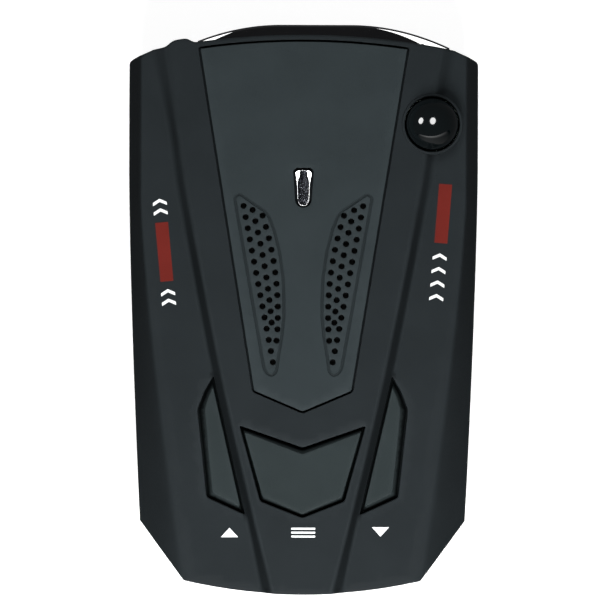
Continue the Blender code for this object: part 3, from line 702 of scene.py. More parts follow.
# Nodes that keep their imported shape
CARRIED = {
    cloth_mat: ("grille_cloth_left", "grille_cloth_right"),
    board_mat: ("main_board",),
    chip_mat: ("microcontroller", "voice_chip", "amplifier_chip", "voltage_regulator", "speaker_connector",
               "dc_jack", "lens_holder", "dome_sensor_post", "up_switch", "menu_switch", "down_switch"),
    red_mat: ("up_plunger", "menu_plunger", "down_plunger", "led_display"),
    steel_mat: (*(f"board_screw_{number}" for number in (1, 2, 3, 4)), "mixer_shield", "crystal",
                "speaker_frame", "speaker_magnet", "horn_antenna"),
    can_mat: ("input_capacitor", "filter_capacitor"),
    brass_mat: ("dc_jack_pin",),
    resin_mat: ("laser_lens", "laser_photodiode", "dome_photodiode"),
    paper_mat: ("speaker_cone",),
    rubber_mat: ("speaker_gasket", "speaker_lead_a"),
    red_wire_mat: ("speaker_lead_b",),
}
for carried_mat, names in CARRIED.items():
    for carried in names:
        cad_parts[carried].data.materials.clear()
        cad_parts[carried].data.materials.append(carried_mat)


# ---- shared outlines

def centre_of(node):
    low, high = box_mm(node)
    return (low[0] + high[0]) / 2, (low[1] + high[1]) / 2


DOME = centre_of("dome_lens")
DOME_RADIUS = (box_mm("dome_lens")[1][0] - box_mm("dome_lens")[0][0]) / 2
DOME_TOP, DOME_FOOT = top_of("dome_lens"), low_of("dome_lens")
COVER_SCREWS = [centre_of(f"cover_screw_{number}") for number in (1, 2, 3, 4)]
BOARD_SCREWS = [centre_of(f"board_screw_{number}") for number in (1, 2, 3, 4)]
UP_POCKET = resample(soft_corners(SIDE_POCKET, POCKET_CORNER), 0.7)
DOWN_POCKET = mirrored(UP_POCKET)
MENU_HOLE = resample(soft_corners(MENU_POCKET, POCKET_CORNER), 0.7)
GRILLE_LEFT = grille_outline()
GRILLES = (GRILLE_LEFT, mirrored(GRILLE_LEFT))
PANEL = resample(panel_outline(), 0.9)


def from_centre(x, y, centre):
    return np.hypot(x - centre[0], y - centre[1])


def clipped(line, keep_in, keep_out, margin):
    """Parts of an open line that stay inside one loop and clear of the others."""
    line = np.asarray(line, float)
    clear = inside(line[:, 0], line[:, 1], keep_in)
    clear &= distance(line[:, 0], line[:, 1], keep_in) > margin
    for loop in keep_out:
        clear &= (distance(line[:, 0], line[:, 1], loop) > margin) & ~inside(line[:, 0], line[:, 1], loop)
    parts, run = [], []
    for point, ok in zip(line, clear):
        if ok:
            run.append(point)
        elif run:
            parts.append(run)
            run = []
    parts.append(run)
    return [np.array(part) for part in parts if len(part) > 1]


def seated(z, x, y, centres, radius, height):
    """Sets one height within a radius of each centre."""
    for centre in centres:
        z = np.where(from_centre(x, y, centre) < radius + HAIR, height, z)
    return z


# ---- upper shell

EDGE_ROUND = 0.45
POCKET_ROUND = 0.22
FLANK_ROUND = 1.4
BOSS_ROUND = 0.2
SEAT_ROUND = 0.15
SEAM_ROUND = 0.1
OUTLINE = housing_outline(bulged_lip)
FRONT_LINE, REAR_LINE = housing_ends(bulged_lip)
INNER_WALL = housing_ends(lip)


def share(value):
    return np.clip(value, 0.0, 1.0)


STEP_SOFT = 0.4
STEP_SOFTENING = 1.5
SOFTER_FROM = 5.0
SOFTER_OVER = 45.0


def step_lines(y):
    return extended(y, STEP_LOW), extended(y, STEP_HIGH)


def step_surface(x, y):
    """The raised middle and the lower wings, with a sloped step that softens towards the windscreen."""
    ax = np.abs(x)
    low_x, high_x = step_lines(y)
    slope = HUMP_TOP - (HUMP_TOP - WING_TOP) * (ax - high_x) / (low_x - high_x)
    soft = STEP_SOFT + STEP_SOFTENING * share((y - SOFTER_FROM) / SOFTER_OVER)
    return smooth_max(smooth_min(slope, HUMP_TOP, soft), WING_TOP, soft)


def flank(x, y, inset=0.0):
    side = half_width(y)
    foot = PARTING + SIDE_FOOT
    return foot + (WING_TOP - foot) * (side - inset - np.abs(x)) / (side - band(y))


def end_distance(x, y):
    return np.minimum(distance(x, y, FRONT_LINE, False), distance(x, y, REAR_LINE, False))


def pocket_distance(x, y):
    return np.minimum.reduce([distance(x, y, loop) for loop in (UP_POCKET, MENU_HOLE, DOWN_POCKET)])


RECESS = offset(PANEL, SEAM)
SEAT = PANEL_LOW - GAP


def upper_top(x, y):
    z = step_surface(x, y)
    z = smooth_min(z, flank(x, y), FLANK_ROUND)
    z = z - rounding(end_distance(x, y), EDGE_ROUND)
    r = from_centre(x, y, DOME)
    boss = BOSS_TOP - rounding(BOSS_RADIUS - r, BOSS_ROUND) - rounding(r - DOME_RADIUS - GAP, SEAT_ROUND)
    z = np.where(r < BOSS_RADIUS + HAIR, boss, z)
    z = z - rounding(pocket_distance(x, y), POCKET_ROUND)
    gap = signed_distance(x, y, RECESS)
    z = np.where(gap < HAIR, SEAT, z - rounding(gap, SEAM_ROUND))
    return np.maximum(z, PARTING + SIDE_FOOT * 0.8)


# Reach and strength of the painted light and shade on the upper shell.
RUB_AND_HIGHLIGHT_WIDTH = 0.35
CREST_WIDTH = 0.5
KEY_SHADE_REACH = 1.3
STEP_FOOT = 0.6
STEP_SHADE = 0.8
STEP_SHADE_FROM = 30.0
STEP_SHADE_OVER = 20.0
SEAM_SHADE = -0.45


def upper_edge(x, y):
    """Wear and painted highlight on the pockets' rims, the ends and the steps' crests. Painted shade in the
    seam, on the steps and beside the side keys.
    """
    near = np.minimum(pocket_distance(x, y), end_distance(x, y))
    ax = np.abs(x)
    low_x, high_x = step_lines(y)
    crest = np.abs(ax - high_x + 0.1)
    # Wear and painted highlight along the pockets' rims, the ends and the steps' crests.
    rubbed_and_lit = np.maximum(np.maximum(1 - near / RUB_AND_HIGHLIGHT_WIDTH, 0.5 * (1 - crest / CREST_WIDTH)), 0.0)
    on_step = share(2 * np.minimum(ax - high_x, low_x - ax) / (low_x - high_x))
    # Painted shade on the steps, stronger towards the rear.
    shaded = STEP_SHADE * on_step * share((STEP_SHADE_FROM - y) / STEP_SHADE_OVER)
    to_key = np.minimum(distance(x, y, UP_POCKET), distance(x, y, DOWN_POCKET))
    near_step = (ax > high_x) & (ax < low_x + STEP_FOOT)
    # Painted shade on the step beside the side keys.
    shaded = np.maximum(shaded, np.where(near_step, share(1 - to_key / KEY_SHADE_REACH), 0.0))
    # Painted shade in the seam around the panel.
    in_seam = inside(x, y, RECESS) | (distance(x, y, RECESS) < WALL_STEP)
    return np.where(in_seam, SEAM_SHADE, rubbed_and_lit - shaded)


CROWN_WALL = 2.4
OPENING_MARGIN = 0.7
POST_RADIUS = 2.6
PILOT_RADIUS = 1.3
PILOT_TOP = 17.6
NOTCH_DEPTH = 4.0
REAR_NOTCH_Y = -52.0
BOSS_FOOT = DOME_FOOT + 1.0
FRONT_NOTCH = top_of("front_window") + GAP
REAR_NOTCH = top_of("display_window") + GAP


def upper_low(x, y):
    ceiling = step_surface(x, y) - CROWN_WALL
    ceiling = np.minimum(ceiling, flank(x, y, WALL))
    ends = np.minimum(distance(x, y, INNER_WALL[0], False), distance(x, y, INNER_WALL[1], False))
    ceiling = np.where(ends < WALL, PARTING, ceiling)
    in_width = (x > NOTCH_LEFT - HAIR) & (x < NOTCH_RIGHT + HAIR)
    ceiling = np.where(in_width & (y > lip(x) - NOTCH_DEPTH - HAIR), FRONT_NOTCH, ceiling)
    rear_notch = (np.abs(x) < DISPLAY_STOP + HAIR) & (y < REAR_NOTCH_Y + HAIR)
    ceiling = np.where(rear_notch, REAR_NOTCH, ceiling)
    ceiling = seated(ceiling, x, y, [DOME], BOSS_RADIUS, BOSS_FOOT)
    ceiling = seated(ceiling, x, y, COVER_SCREWS, POST_RADIUS, PARTING)
    ceiling = seated(ceiling, x, y, COVER_SCREWS, PILOT_RADIUS, PILOT_TOP)
    return np.maximum(ceiling, PARTING)


def notch_lines():
    """Edges of the two openings that take the windows, a hair wide so that their walls stand upright."""
    lines = []
    for shift in (0.0, WALL_STEP):
        left, right = NOTCH_LEFT - shift, NOTCH_RIGHT + shift
        xs = np.linspace(left, right, 61)
        start, stop = [(left, bulged_lip(left))], [(right, bulged_lip(right))]
        lines.append(np.vstack([start, points(xs, lip(xs) - NOTCH_DEPTH - shift), stop]))
        half, end = DISPLAY_STOP + shift, REAR_NOTCH_Y + shift
        lines.append(np.array([(-half, rear(half)), (-half, end), (half, end), (half, rear(half))]))
    return lines


HIGH_SHIFTS = (-1.2, -0.8, -0.5, -0.25, 0.0, 0.25, 0.5)
LOW_SHIFTS = [-shift for shift in HIGH_SHIFTS]
BAND_SHIFTS = (-0.45, -0.3, -0.15, 0.0, 0.15, 0.3)


def walled(centre, radii, count):
    """Circles in pairs, a hair apart, for upright walls."""
    return [circle(*centre, r + d, count) for r in radii for d in (0.0, WALL_STEP)]


def upper_shell():
    ys = np.linspace(54.0, -57.0, 140)
    openings = [offset(loop, OPENING_MARGIN) for loop in GRILLES]
    hole = circle(*DOME, DOME_RADIUS + GAP, 72)
    holes = [UP_POCKET, MENU_HOLE, DOWN_POCKET, hole, *openings]
    loops = [offset(OUTLINE, -d) for d in fillet_steps(EDGE_ROUND, 4)]
    loops += [offset(pocket, d) for pocket in holes[:3] for d in fillet_steps(POCKET_ROUND, 3)]
    loops += [circle(*DOME, BOSS_RADIUS - d, 72) for d in (BOSS_ROUND, 0.1, 0.03, 0.0)]
    loops += [circle(*DOME, r, 72) for r in (DOME_RADIUS + GAP + SEAT_ROUND, BOSS_RADIUS + WALL_STEP)]
    loops += [RECESS] + [offset(RECESS, WALL_STEP + d) for d in (0.0, 0.03, 0.07, 0.12)]
    for centre in COVER_SCREWS:
        loops += walled(centre, (PILOT_RADIUS, POST_RADIUS), 24)
    keep_out = [*holes[:3], circle(*DOME, BOSS_RADIUS + 0.2, 48)]
    lines = []
    low, high = step_lines(ys)
    for side in (-1, 1):
        for xs, shifts in ((high, HIGH_SHIFTS), (low, LOW_SHIFTS), (band(ys), BAND_SHIFTS)):
            for shift in shifts:
                lines += clipped(points(side * (xs + shift), ys), OUTLINE, keep_out, 0.5)
    lines += notch_lines()
    shell = slab("upper_shell", OUTLINE, upper_top, upper_low, holes, loops, lines, 1.5,
                 edge=upper_edge)
    start, stop = SOCKET_SPAN
    path = ((0, start), (SOCKET_RADIUS, start), (SOCKET_RADIUS, stop), (0, stop))
    cut(shell, turned("socket_mouth", path, (SOCKET_X, 0, SOCKET_Z), 48, axis="Y"))
    return show(shell, "housing", "housing_plastic", housing_mat, "top_cover")


def cut(target, tool):
    """Takes one mesh away from another and drops the tool."""
    change = target.modifiers.new("cut", "BOOLEAN")
    change.operation = "DIFFERENCE"
    change.solver = "EXACT"
    change.object = tool
    shaped = bpy.data.meshes.new_from_object(target.evaluated_get(bpy.context.evaluated_depsgraph_get()))
    target.modifiers.clear()
    target.data = shaped
    shaped.shade_smooth()
    shaped.set_sharp_from_angle(angle=math.radians(35))
    bpy.data.objects.remove(tool)


# ---- lower shell and pad

FLOOR_TOP = 2.8
FOOT_INSET = 3.4
FOOT_BEND = (1.6, 2.6)
HEAD_RECESS = 2.3
HEAD_SEAT = 4.0
HEAD_POST = 2.8
BOARD_PILOT = 1.1
BOARD_POST_RADIUS = 2.4
RIM = PARTING - GAP
BASE = housing_outline(lip)
PAD_HALF_SIZE = (20.0, 38.0)
PAD_CORNER = 4.0
RIB_PITCH = 2.0
RIB_DEPTH = 0.25
RIB_BORDER = 1.6
RIB_END = 2.2


def pad_outline(extra=0.0):
    loops = []
    for quarter, (sx, sy) in enumerate(((1, 1), (-1, 1), (-1, -1), (1, -1))):
        angle = np.linspace(quarter, quarter + 1, 9) * math.pi / 2
        reach = PAD_CORNER + extra
        loops.append(points(sx * (PAD_HALF_SIZE[0] - PAD_CORNER) + reach * np.cos(angle),
                            sy * (PAD_HALF_SIZE[1] - PAD_CORNER) + reach * np.sin(angle)))
    return resample(np.vstack(loops), 2.0)


def lower_low(x, y):
    d = distance(x, y, BASE)
    bend_inset, bend_z = FOOT_BEND
    side = bend_z + (RIM - bend_z) * (1 - d / bend_inset)
    foot = UNDERSIDE + (bend_z - UNDERSIDE) * (1 - (d - bend_inset) / (FOOT_INSET - bend_inset))
    z = smooth_max(np.minimum(side, RIM - 0.1), smooth_max(foot, UNDERSIDE, 0.5), 0.8)
    pad = signed_distance(x, y, PAD_RECESS)
    z = np.where(pad < HAIR, PAD_TOP + GAP, z + rounding(pad, 0.15))
    for centre in COVER_SCREWS:
        r = from_centre(x, y, centre)
        z = np.where(r < HEAD_RECESS + HAIR, HEAD_SEAT, z + rounding(r - HEAD_RECESS, 0.2))
    return z


def lower_top(x, y):
    d = distance(x, y, BASE)
    z = np.clip(RIM - (d - WALL) * (RIM - FLOOR_TOP) / (FOOT_INSET - WALL), FLOOR_TOP, RIM)
    z = seated(z, x, y, COVER_SCREWS, HEAD_POST, PARTING - 0.2)
    z = seated(z, x, y, BOARD_SCREWS, BOARD_POST_RADIUS, BOARD_POST)
    return seated(z, x, y, BOARD_SCREWS, BOARD_PILOT, HEAD_SEAT)


PAD_RECESS = pad_outline(0.4)
BOARD_POST = low_of("main_board") - GAP


def lower_shell():
    insets = (0.8, 1.3, FOOT_BEND[0], WALL, 2.2, 2.8, FOOT_INSET - 0.2, FOOT_INSET + 0.2)
    loops = [offset(BASE, -d) for d in insets]
    loops += [PAD_RECESS] + [offset(PAD_RECESS, WALL_STEP + d) for d in (0.0, 0.05, 0.15)]
    holes = [circle(*centre, PILOT_RADIUS, 24) for centre in COVER_SCREWS]
    for centre in COVER_SCREWS:
        loops += [*walled(centre, (HEAD_RECESS,), 32), circle(*centre, HEAD_RECESS + 0.2, 32)]
        loops += walled(centre, (HEAD_POST,), 32)
    for centre in BOARD_SCREWS:
        loops += walled(centre, (BOARD_PILOT, BOARD_POST_RADIUS), 24)
    shell = slab("lower_shell", BASE, lower_top, lower_low, holes, loops, spacing=2.0)
    return show(shell, "housing", "housing_plastic", housing_mat, "bottom_cover")


def ribs(x, y):
    """Underside of the pad: fine ribs inside a plain border."""
    border = distance(x, y, PAD)
    wave = 0.5 - 0.5 * np.cos(2 * math.pi * y / RIB_PITCH)
    return PAD_LOW + rounding(border, 0.3) + RIB_DEPTH * wave * share((border - RIB_BORDER) / 0.5)


PAD = pad_outline()


def rest_pad():
    def upper(x, y):
        return PAD_TOP - rounding(distance(x, y, PAD), 0.2)

    loops = [offset(PAD, -d) for d in (0.1, 0.3, RIB_BORDER, RIB_BORDER + 0.5)]
    ys = np.arange(-PAD_HALF_SIZE[1] + RIB_END, PAD_HALF_SIZE[1] - RIB_END, RIB_PITCH / 8)
    xs = np.linspace(-PAD_HALF_SIZE[0], PAD_HALF_SIZE[0], 21)
    lines = [part for y in ys for part in clipped(points(xs, np.full(len(xs), y)), PAD, [], 2.15)]
    pad = slab("rest_pad", PAD, upper, ribs, (), loops, lines, 40.0)
    return show(pad, "housing", "pad_rubber", pad_mat, "non_slip_pad")


# ---- speaker panel and accent

PANEL_ROUND = 0.12
GROOVE_HALF_WIDTH = 0.32
GROOVE_DEPTH = 0.22
# Strength of the painted shade in the grooves around the grilles.
GROOVE_SHADE = 0.55
HOLE_ROUND = 0.1
HOLES = [(side * x, y) for x, y in grille_holes() for side in (1, -1)]
PANEL_EDGE = offset(PANEL, -SEAM)
ACCENT_HOLE = accent_outline()


def panel_top(x, y):
    z = HUMP_TOP - rounding(distance(x, y, PANEL_EDGE), PANEL_ROUND)
    z = z - rounding(distance(x, y, ACCENT_HOLE), PANEL_ROUND)
    near = np.min([from_centre(x, y, centre) for centre in HOLES], axis=0)
    z = z - rounding(near - HOLE_RADIUS, HOLE_ROUND)
    for loop in GRILLES:
        across = distance(x, y, loop) / GROOVE_HALF_WIDTH
        z = z - GROOVE_DEPTH * np.maximum(1 - across**4, 0.0)
    return z


def panel_edge(x, y):
    """Painted shade in the grooves around the grilles and in the seam, and a little wear and painted
    highlight on the rim.
    """
    rim = distance(x, y, PANEL_EDGE)
    rubbed_and_lit = np.maximum(1 - np.abs(rim - PANEL_ROUND) / PANEL_ROUND, 0.0)
    groove = np.minimum.reduce([distance(x, y, loop) for loop in GRILLES]) / GROOVE_HALF_WIDTH
    # Painted shade in the seam and the grooves, wear and painted highlight on the rim.
    return np.where(rim < 0.01, SEAM_SHADE, rubbed_and_lit) - GROOVE_SHADE * np.maximum(1 - groove**2, 0.0)


def speaker_panel():
    loops = [offset(PANEL_EDGE, -d) for d in fillet_steps(PANEL_ROUND, 3)]
    loops += [offset(ACCENT_HOLE, d) for d in fillet_steps(PANEL_ROUND, 2)]
    loops += [circle(*centre, HOLE_RADIUS + d, 16) for centre in HOLES for d in (0.04, HOLE_ROUND)]
    parts = (0.2, 0.55, 0.8, 1.0, 1.15)
    shifts = [side * GROOVE_HALF_WIDTH * part for side in (-1, 1) for part in parts]
    loops += [offset(loop, shift) for loop in GRILLES for shift in shifts]
    holes = [ACCENT_HOLE] + [circle(*centre, HOLE_RADIUS, 16) for centre in HOLES]
    seat = level(PANEL_LOW)
    panel = slab("speaker_panel", PANEL_EDGE, panel_top, seat, holes, loops, spacing=1.5, edge=panel_edge)
    return show(panel, "housing", "panel_plastic", panel_mat, "center_panel")


BEZEL_HALF = (
    (0.0, 27.6), (-1.05, 27.6), (-1.45, 27.45), (-1.68, 27.1), (-1.7, 26.6), (-1.58, 25.9), (-1.45, 25.2),
    (-1.35, 24.5), (-1.3, 23.7), (-1.28, 22.6), (-1.22, 21.8), (-1.0, 21.0), (-0.55, 20.5), (0.0, 20.4),
)
OPENING_HALF = (
    (0.0, 27.56), (-0.5, 27.56), (-0.56, 27.2), (-0.58, 26.7), (-0.68, 26.2), (-0.92, 25.6), (-1.04, 24.9),
    (-1.07, 24.2), (-1.06, 23.2), (-1.04, 22.2), (-0.97, 21.5), (-0.72, 20.95), (-0.35, 20.68),
    (0.0, 20.62),
)
CROWN_DROP = 0.12
BEZEL_ROUND = 0.15
OPENING_ROUND = 0.12
CORE_DEPTH = 0.3
FACET_HEIGHT = 0.05


def whole(half):
    half = np.array(half)
    return resample(soft_corners(np.vstack([half, mirrored(half)[1:-1]]), 0.25), 0.15)


def accent_pieces():
    opening, edge = whole(OPENING_HALF), whole(BEZEL_HALF)
    bezel_top, insert_top = top_of("accent_bezel"), top_of("accent_insert")

    def crown(x, y):
        """Nearly half round across its width."""
        outer = rounding(distance(x, y, edge), BEZEL_ROUND)
        return bezel_top - CROWN_DROP - outer - rounding(distance(x, y, opening), OPENING_ROUND)

    loops = [offset(edge, -d) for d in (0.01, 0.03, 0.06, 0.1, BEZEL_ROUND)]
    loops += [offset(opening, d) for d in (0.01, 0.04, 0.08)]
    foot = level(low_of("accent_bezel"))
    bezel = slab("accent_ring", edge, crown, foot, [opening], loops, spacing=0.2, sharp=60)
    show(bezel, "housing", "chrome_trim", chrome_mat, "accent_bezel")
    draw = np.random.default_rng(7)

    def facets(x, y):
        return insert_top - CORE_DEPTH + draw.uniform(-FACET_HEIGHT, FACET_HEIGHT, len(x))

    core = offset(opening, -0.06)
    insert = slab("accent_core", core, facets, level(low_of("accent_insert")), spacing=0.15, sharp=2)
    return show(insert, "housing", "chrome_trim", grain_mat, "accent_insert")


# ---- dome and windows

def laser_dome():
    radius, skin = DOME_RADIUS, 1.0
    centre_z = DOME_TOP - radius
    turn = np.linspace(0, math.pi / 2, 33)
    inner = [((radius - skin) * math.sin(t), centre_z + (radius - skin) * math.cos(t)) for t in turn]
    outer = [(radius * math.sin(t), centre_z + radius * math.cos(t)) for t in turn[::-1]]
    skirt = [(radius - skin, DOME_FOOT), (radius, DOME_FOOT)]
    dome = turned("laser_dome", inner + skirt + outer, (*DOME, 0), 96)
    return show(dome, "housing", "dome_gloss", dome_mat, "dome_lens")


WINDOW_FACE = (19.9, 0.287)
WINDOW_CHEEK = (19.74, 0.83)
WINDOW_LEFT_RISE = 0.23
WINDOW_EDGE = 0.45
WINDOW_EDGE_DROP = 3.0
WINDOW_UNDER_LIP = 1.5
PANE_BACK = 1.9
PANE_ROUND = 0.2
WINDOW_XS = np.linspace(*WINDOW_X, 80)
WINDOW_LINE = points(WINDOW_XS, window_front(WINDOW_XS))


def window_face(y):
    return WINDOW_FACE[0] + WINDOW_FACE[1] * (WINDOW_REACH - y)


def window_top(x, y):
    """A face that leans forward a little, steeper cheeks at its two ends, and a steep chamfer as rim."""
    reach = distance(x, y, WINDOW_LINE, False)
    cheek = WINDOW_CHEEK[0] + WINDOW_CHEEK[1] * reach + WINDOW_LEFT_RISE * (x < 0)
    z = np.minimum(np.minimum(window_face(y), cheek), FRONT_NOTCH - GAP)
    return z - WINDOW_EDGE_DROP * np.maximum(WINDOW_EDGE - reach, 0.0)


def window_crease(side):
    """Line where the face meets a cheek, on one side of the window."""
    found = []
    for x in np.linspace(WINDOW_MIDDLE + side * 6.0, WINDOW_X[1] if side > 0 else WINDOW_X[0], 60):
        ys = np.linspace(window_front(x) - WINDOW_EDGE, lip(x) - WINDOW_UNDER_LIP, 200)
        reach = distance(np.full(len(ys), x), ys, WINDOW_LINE, False)
        gap = window_face(ys) - WINDOW_CHEEK[0] - WINDOW_CHEEK[1] * reach - WINDOW_LEFT_RISE * (side < 0)
        if gap[0] > 0 and gap[-1] < 0:
            found.append((x, float(np.interp(0.0, gap[::-1], ys[::-1]))))
    return np.array(found)


def front_window():
    xs = WINDOW_XS
    outline = np.vstack([WINDOW_LINE[::-1], points(xs, lip(xs) - WINDOW_UNDER_LIP)])
    along = np.gradient(WINDOW_LINE, axis=0)
    inward = points(along[:, 1], -along[:, 0]) / np.linalg.norm(along, axis=1, keepdims=True)
    lines = clipped(WINDOW_LINE + inward * WINDOW_EDGE, outline, [], 0.02)
    lines += [window_crease(side) for side in (-1, 1)]
    foot = level(low_of("front_window"))
    window = slab("window_front", outline, window_top, foot, (), (), lines, spacing=0.35, sharp=12)
    return show(window, "housing", "smoked_gloss", gloss_mat, "front_window")


def rear_pane():
    low, high = box_mm("display_window")
    xs = np.linspace(-DISPLAY_HALF_WIDTH, DISPLAY_HALF_WIDTH, 60)
    pane_line = np.vstack([points(xs, rear(xs) + GAP), points(xs, rear(xs) + PANE_BACK)[::-1]])
    pane_line = soft_corners(pane_line, PANE_ROUND)

    def upper(x, y):
        return high[2] - rounding(distance(x, y, pane_line), PANE_ROUND)

    def lower(x, y):
        return low[2] + rounding(distance(x, y, pane_line), PANE_ROUND)

    loops = [offset(pane_line, -d) for d in fillet_steps(PANE_ROUND, 3)]
    pane = slab("window_rear", pane_line, upper, lower, (), loops)
    return show(pane, "housing", "smoked_gloss", gloss_mat, "display_window")


# ---- keys

KEY_FLANGE = 0.6
KEY_FLANGE_HEIGHT = 1.0
KEY_SHOULDER = 2.0
KEY_CREST = 0.12
KEY_ROUND = 0.3
KEY_CORNER = 0.5


def key_cap(name, pocket, cap, body, node_name, base):
    """A key with a flat cap, a sloped skirt around it, and a flange below the housing."""
    low, high = box_mm(node_name)
    neck = offset(pocket, -KEY_CLEARANCE)
    cap = resample(soft_corners(cap, KEY_CORNER), 0.5)
    shoulder = base - KEY_SHOULDER

    def surface(x, y):
        to_neck, to_cap = distance(x, y, neck), distance(x, y, cap)
        t = to_neck / (to_neck + to_cap + 1e-9)
        skirt = shoulder + (high[2] - KEY_CREST - shoulder) * t ** 0.8
        crest = high[2] - rounding(to_cap, KEY_ROUND) * 0.4
        z = np.where(inside(x, y, cap), crest, skirt)
        return np.where(inside(x, y, neck) | (to_neck < HAIR), z, low[2] + KEY_FLANGE_HEIGHT)

    # Wear and painted highlight on the cap's rim; painted shade down the skirt, darkest at the pocket.
    def wear_light_shade(x, y):
        to_cap = distance(x, y, cap)
        down = to_cap / (to_cap + distance(x, y, neck) + 1e-9)
        on_cap = inside(x, y, cap) | (to_cap < 0.02)
        return np.where(on_cap, np.maximum(1 - to_cap / KEY_ROUND, 0.0), -share(0.6 + 0.5 * down))

    loops = [neck, offset(neck, WALL_STEP), cap] + [offset(neck, -d) for d in (0.05, 0.15, 0.3)]
    loops += [offset(cap, -d) for d in (0.04, 0.12, KEY_ROUND)]
    flange = offset(pocket, KEY_FLANGE)
    key = slab(name, flange, surface, level(low[2]), (), loops, spacing=0.6, sharp=40, edge=wear_light_shade)
    return show(key, body, "key_plastic", key_mat, node_name)


def keys():
    cap = np.array(SIDE_CAP)
    key_cap("key_up", UP_POCKET, cap, "up_button", "up_key", WING_TOP)
    key_cap("key_down", DOWN_POCKET, mirrored(cap), "down_button", "down_key", WING_TOP)
    key_cap("key_menu", MENU_HOLE, np.array(MENU_CAP), "menu_button", "menu_key", HUMP_TOP)


# ---- screws

SCREW_HEAD = 2.0
SCREW_SEAT = 3.7
SCREW_NECK = 1.0
THREAD_ROOT = 0.95
THREAD_CREST = 1.2
THREAD_START = 5.0
THREAD_END = 16.4
THREAD_PITCH = 1.2
THREAD_TURNS = 9
CROSS_ARM = 1.15
CROSS_HALF = 0.22
CROSS_DEPTH = 0.8


def cover_screws():
    """Four self-tapping screws, seen from below as heads with a cross in them."""
    foot, tip = low_of("cover_screw_1"), top_of("cover_screw_1")
    crown = [(0, foot), (1.5, foot), (1.85, foot + 0.14), (SCREW_HEAD, foot + 0.45)]
    path = [*crown, (SCREW_HEAD, SCREW_SEAT), (SCREW_NECK, SCREW_SEAT)]
    for k in range(THREAD_TURNS):
        z = THREAD_START + k * THREAD_PITCH
        crest, root = z + THREAD_PITCH * 0.35, z + THREAD_PITCH * 0.7
        path += [(THREAD_ROOT, z), (THREAD_CREST, crest), (THREAD_ROOT, root)]
    path += [(THREAD_ROOT, THREAD_END), (0, tip)]
    first = turned("screw_1", path, (0, 0, 0), 36)
    arm = ((CROSS_ARM, CROSS_HALF), (CROSS_HALF, CROSS_HALF), (CROSS_HALF, CROSS_ARM))
    quarters = ((1, 0), (0, 1), (-1, 0), (0, -1))
    cross = [(x * c - y * s, x * s + y * c) for c, s in quarters for x, y in arm]
    cut(first, slab("cross", cross, level(foot + CROSS_DEPTH), level(foot - 1.0), spacing=5.0))
    for number, centre in enumerate(COVER_SCREWS, 1):
        screw = first if number == 1 else added(f"screw_{number}", first.data.copy())
        screw.location = (centre[0] * MM, centre[1] * MM, 0.0)
        show(screw, "housing", "steel", steel_mat, f"cover_screw_{number}")


# ---- printed signs

PRINT_HEIGHT = 0.04
PRINT_ROUND = 0.12
ICON_UP = (-14.5, -44.6)
ICON_DOWN = (15.6, -44.4)
ICON_HALF = 1.75
ICON_RISE = 0.95
BAR_ENDS = (-2.2, 2.6)
BAR_LEVEL = -44.5
BAR_PITCH = 0.78
BAR_HALF = 0.2
PLATE = ((-1.3, -5.9), (1.3, -5.9), (1.3, 5.9), (-1.3, 5.9))
CHEVRON_HALF = 1.4
CHEVRON_RISE = 0.5
CHEVRON_STROKE = 0.65


def print_on(name, outline, z, material):
    outline = soft_corners(np.asarray(outline, float), PRINT_ROUND, steps=4)
    piece = slab(name, outline, level(z + PRINT_HEIGHT), level(z - PRINT_HEIGHT), spacing=4.0)
    piece.visible_glossy = False
    return show(piece, "housing", "housing_plastic", material)


def triangle(centre, half, rise):
    x, y = centre
    return [(x - half, y - rise), (x + half, y - rise), (x, y + rise)]


def icons():
    """Plain signs behind the keys: a triangle up, a triangle down, three bars."""
    print_on("icon_up", triangle(ICON_UP, ICON_HALF, ICON_RISE), WING_TOP, white_mat)
    print_on("icon_down", triangle(ICON_DOWN, -ICON_HALF, -ICON_RISE), WING_TOP, white_mat)
    left, right = BAR_ENDS
    for number in range(3):
        y = BAR_LEVEL + (number - 1) * BAR_PITCH
        low, high = y - BAR_HALF, y + BAR_HALF
        bar = [(left, low), (right, low), (right, high), (left, high)]
        print_on(f"icon_menu_{number + 1}", bar, HUMP_TOP, white_mat)


def slanted(middle, along, lean, shape):
    """Turns a shape by a lean and moves it; the shape's y runs along the strip."""
    cos, sin = math.cos(lean), math.sin(lean)
    return [(middle + x * cos - y * sin, along + x * sin + y * cos) for x, y in shape]


def chevron():
    half, foot, stroke = CHEVRON_HALF, -CHEVRON_RISE, CHEVRON_STROKE
    return [(-half, foot), (0, CHEVRON_RISE - stroke * 0.4), (half, foot), (half, foot + stroke),
            (0, CHEVRON_RISE + stroke * 0.6), (-half, foot + stroke)]


def mark_strip(side, centre, lean, rows):
    """A red plate and white chevrons along a line that leans towards the axis at the rear."""
    lean = math.radians(lean)
    x, y = centre
    print_on(f"plate_{side}", slanted(x, y, lean, PLATE), WING_TOP, red_print_mat)
    for number, row in enumerate(rows, 1):
        place = slanted(x - (row - y) * math.tan(lean), row, lean, chevron())
        print_on(f"mark_{side}_{number}", place, WING_TOP, white_mat)


def side_marks():
    """Unlettered marks on the wings."""
    mark_strip("left", (-27.7, 11.3), 5.4, (21.0, 19.1, 3.0, 1.1))
    mark_strip("right", (27.9, 19.1), -4.5, (10.3, 7.6, 4.9, 2.2))


# ---- stage

FLOOR_REACH = 3.0
FLOOR_DROP = 0.05


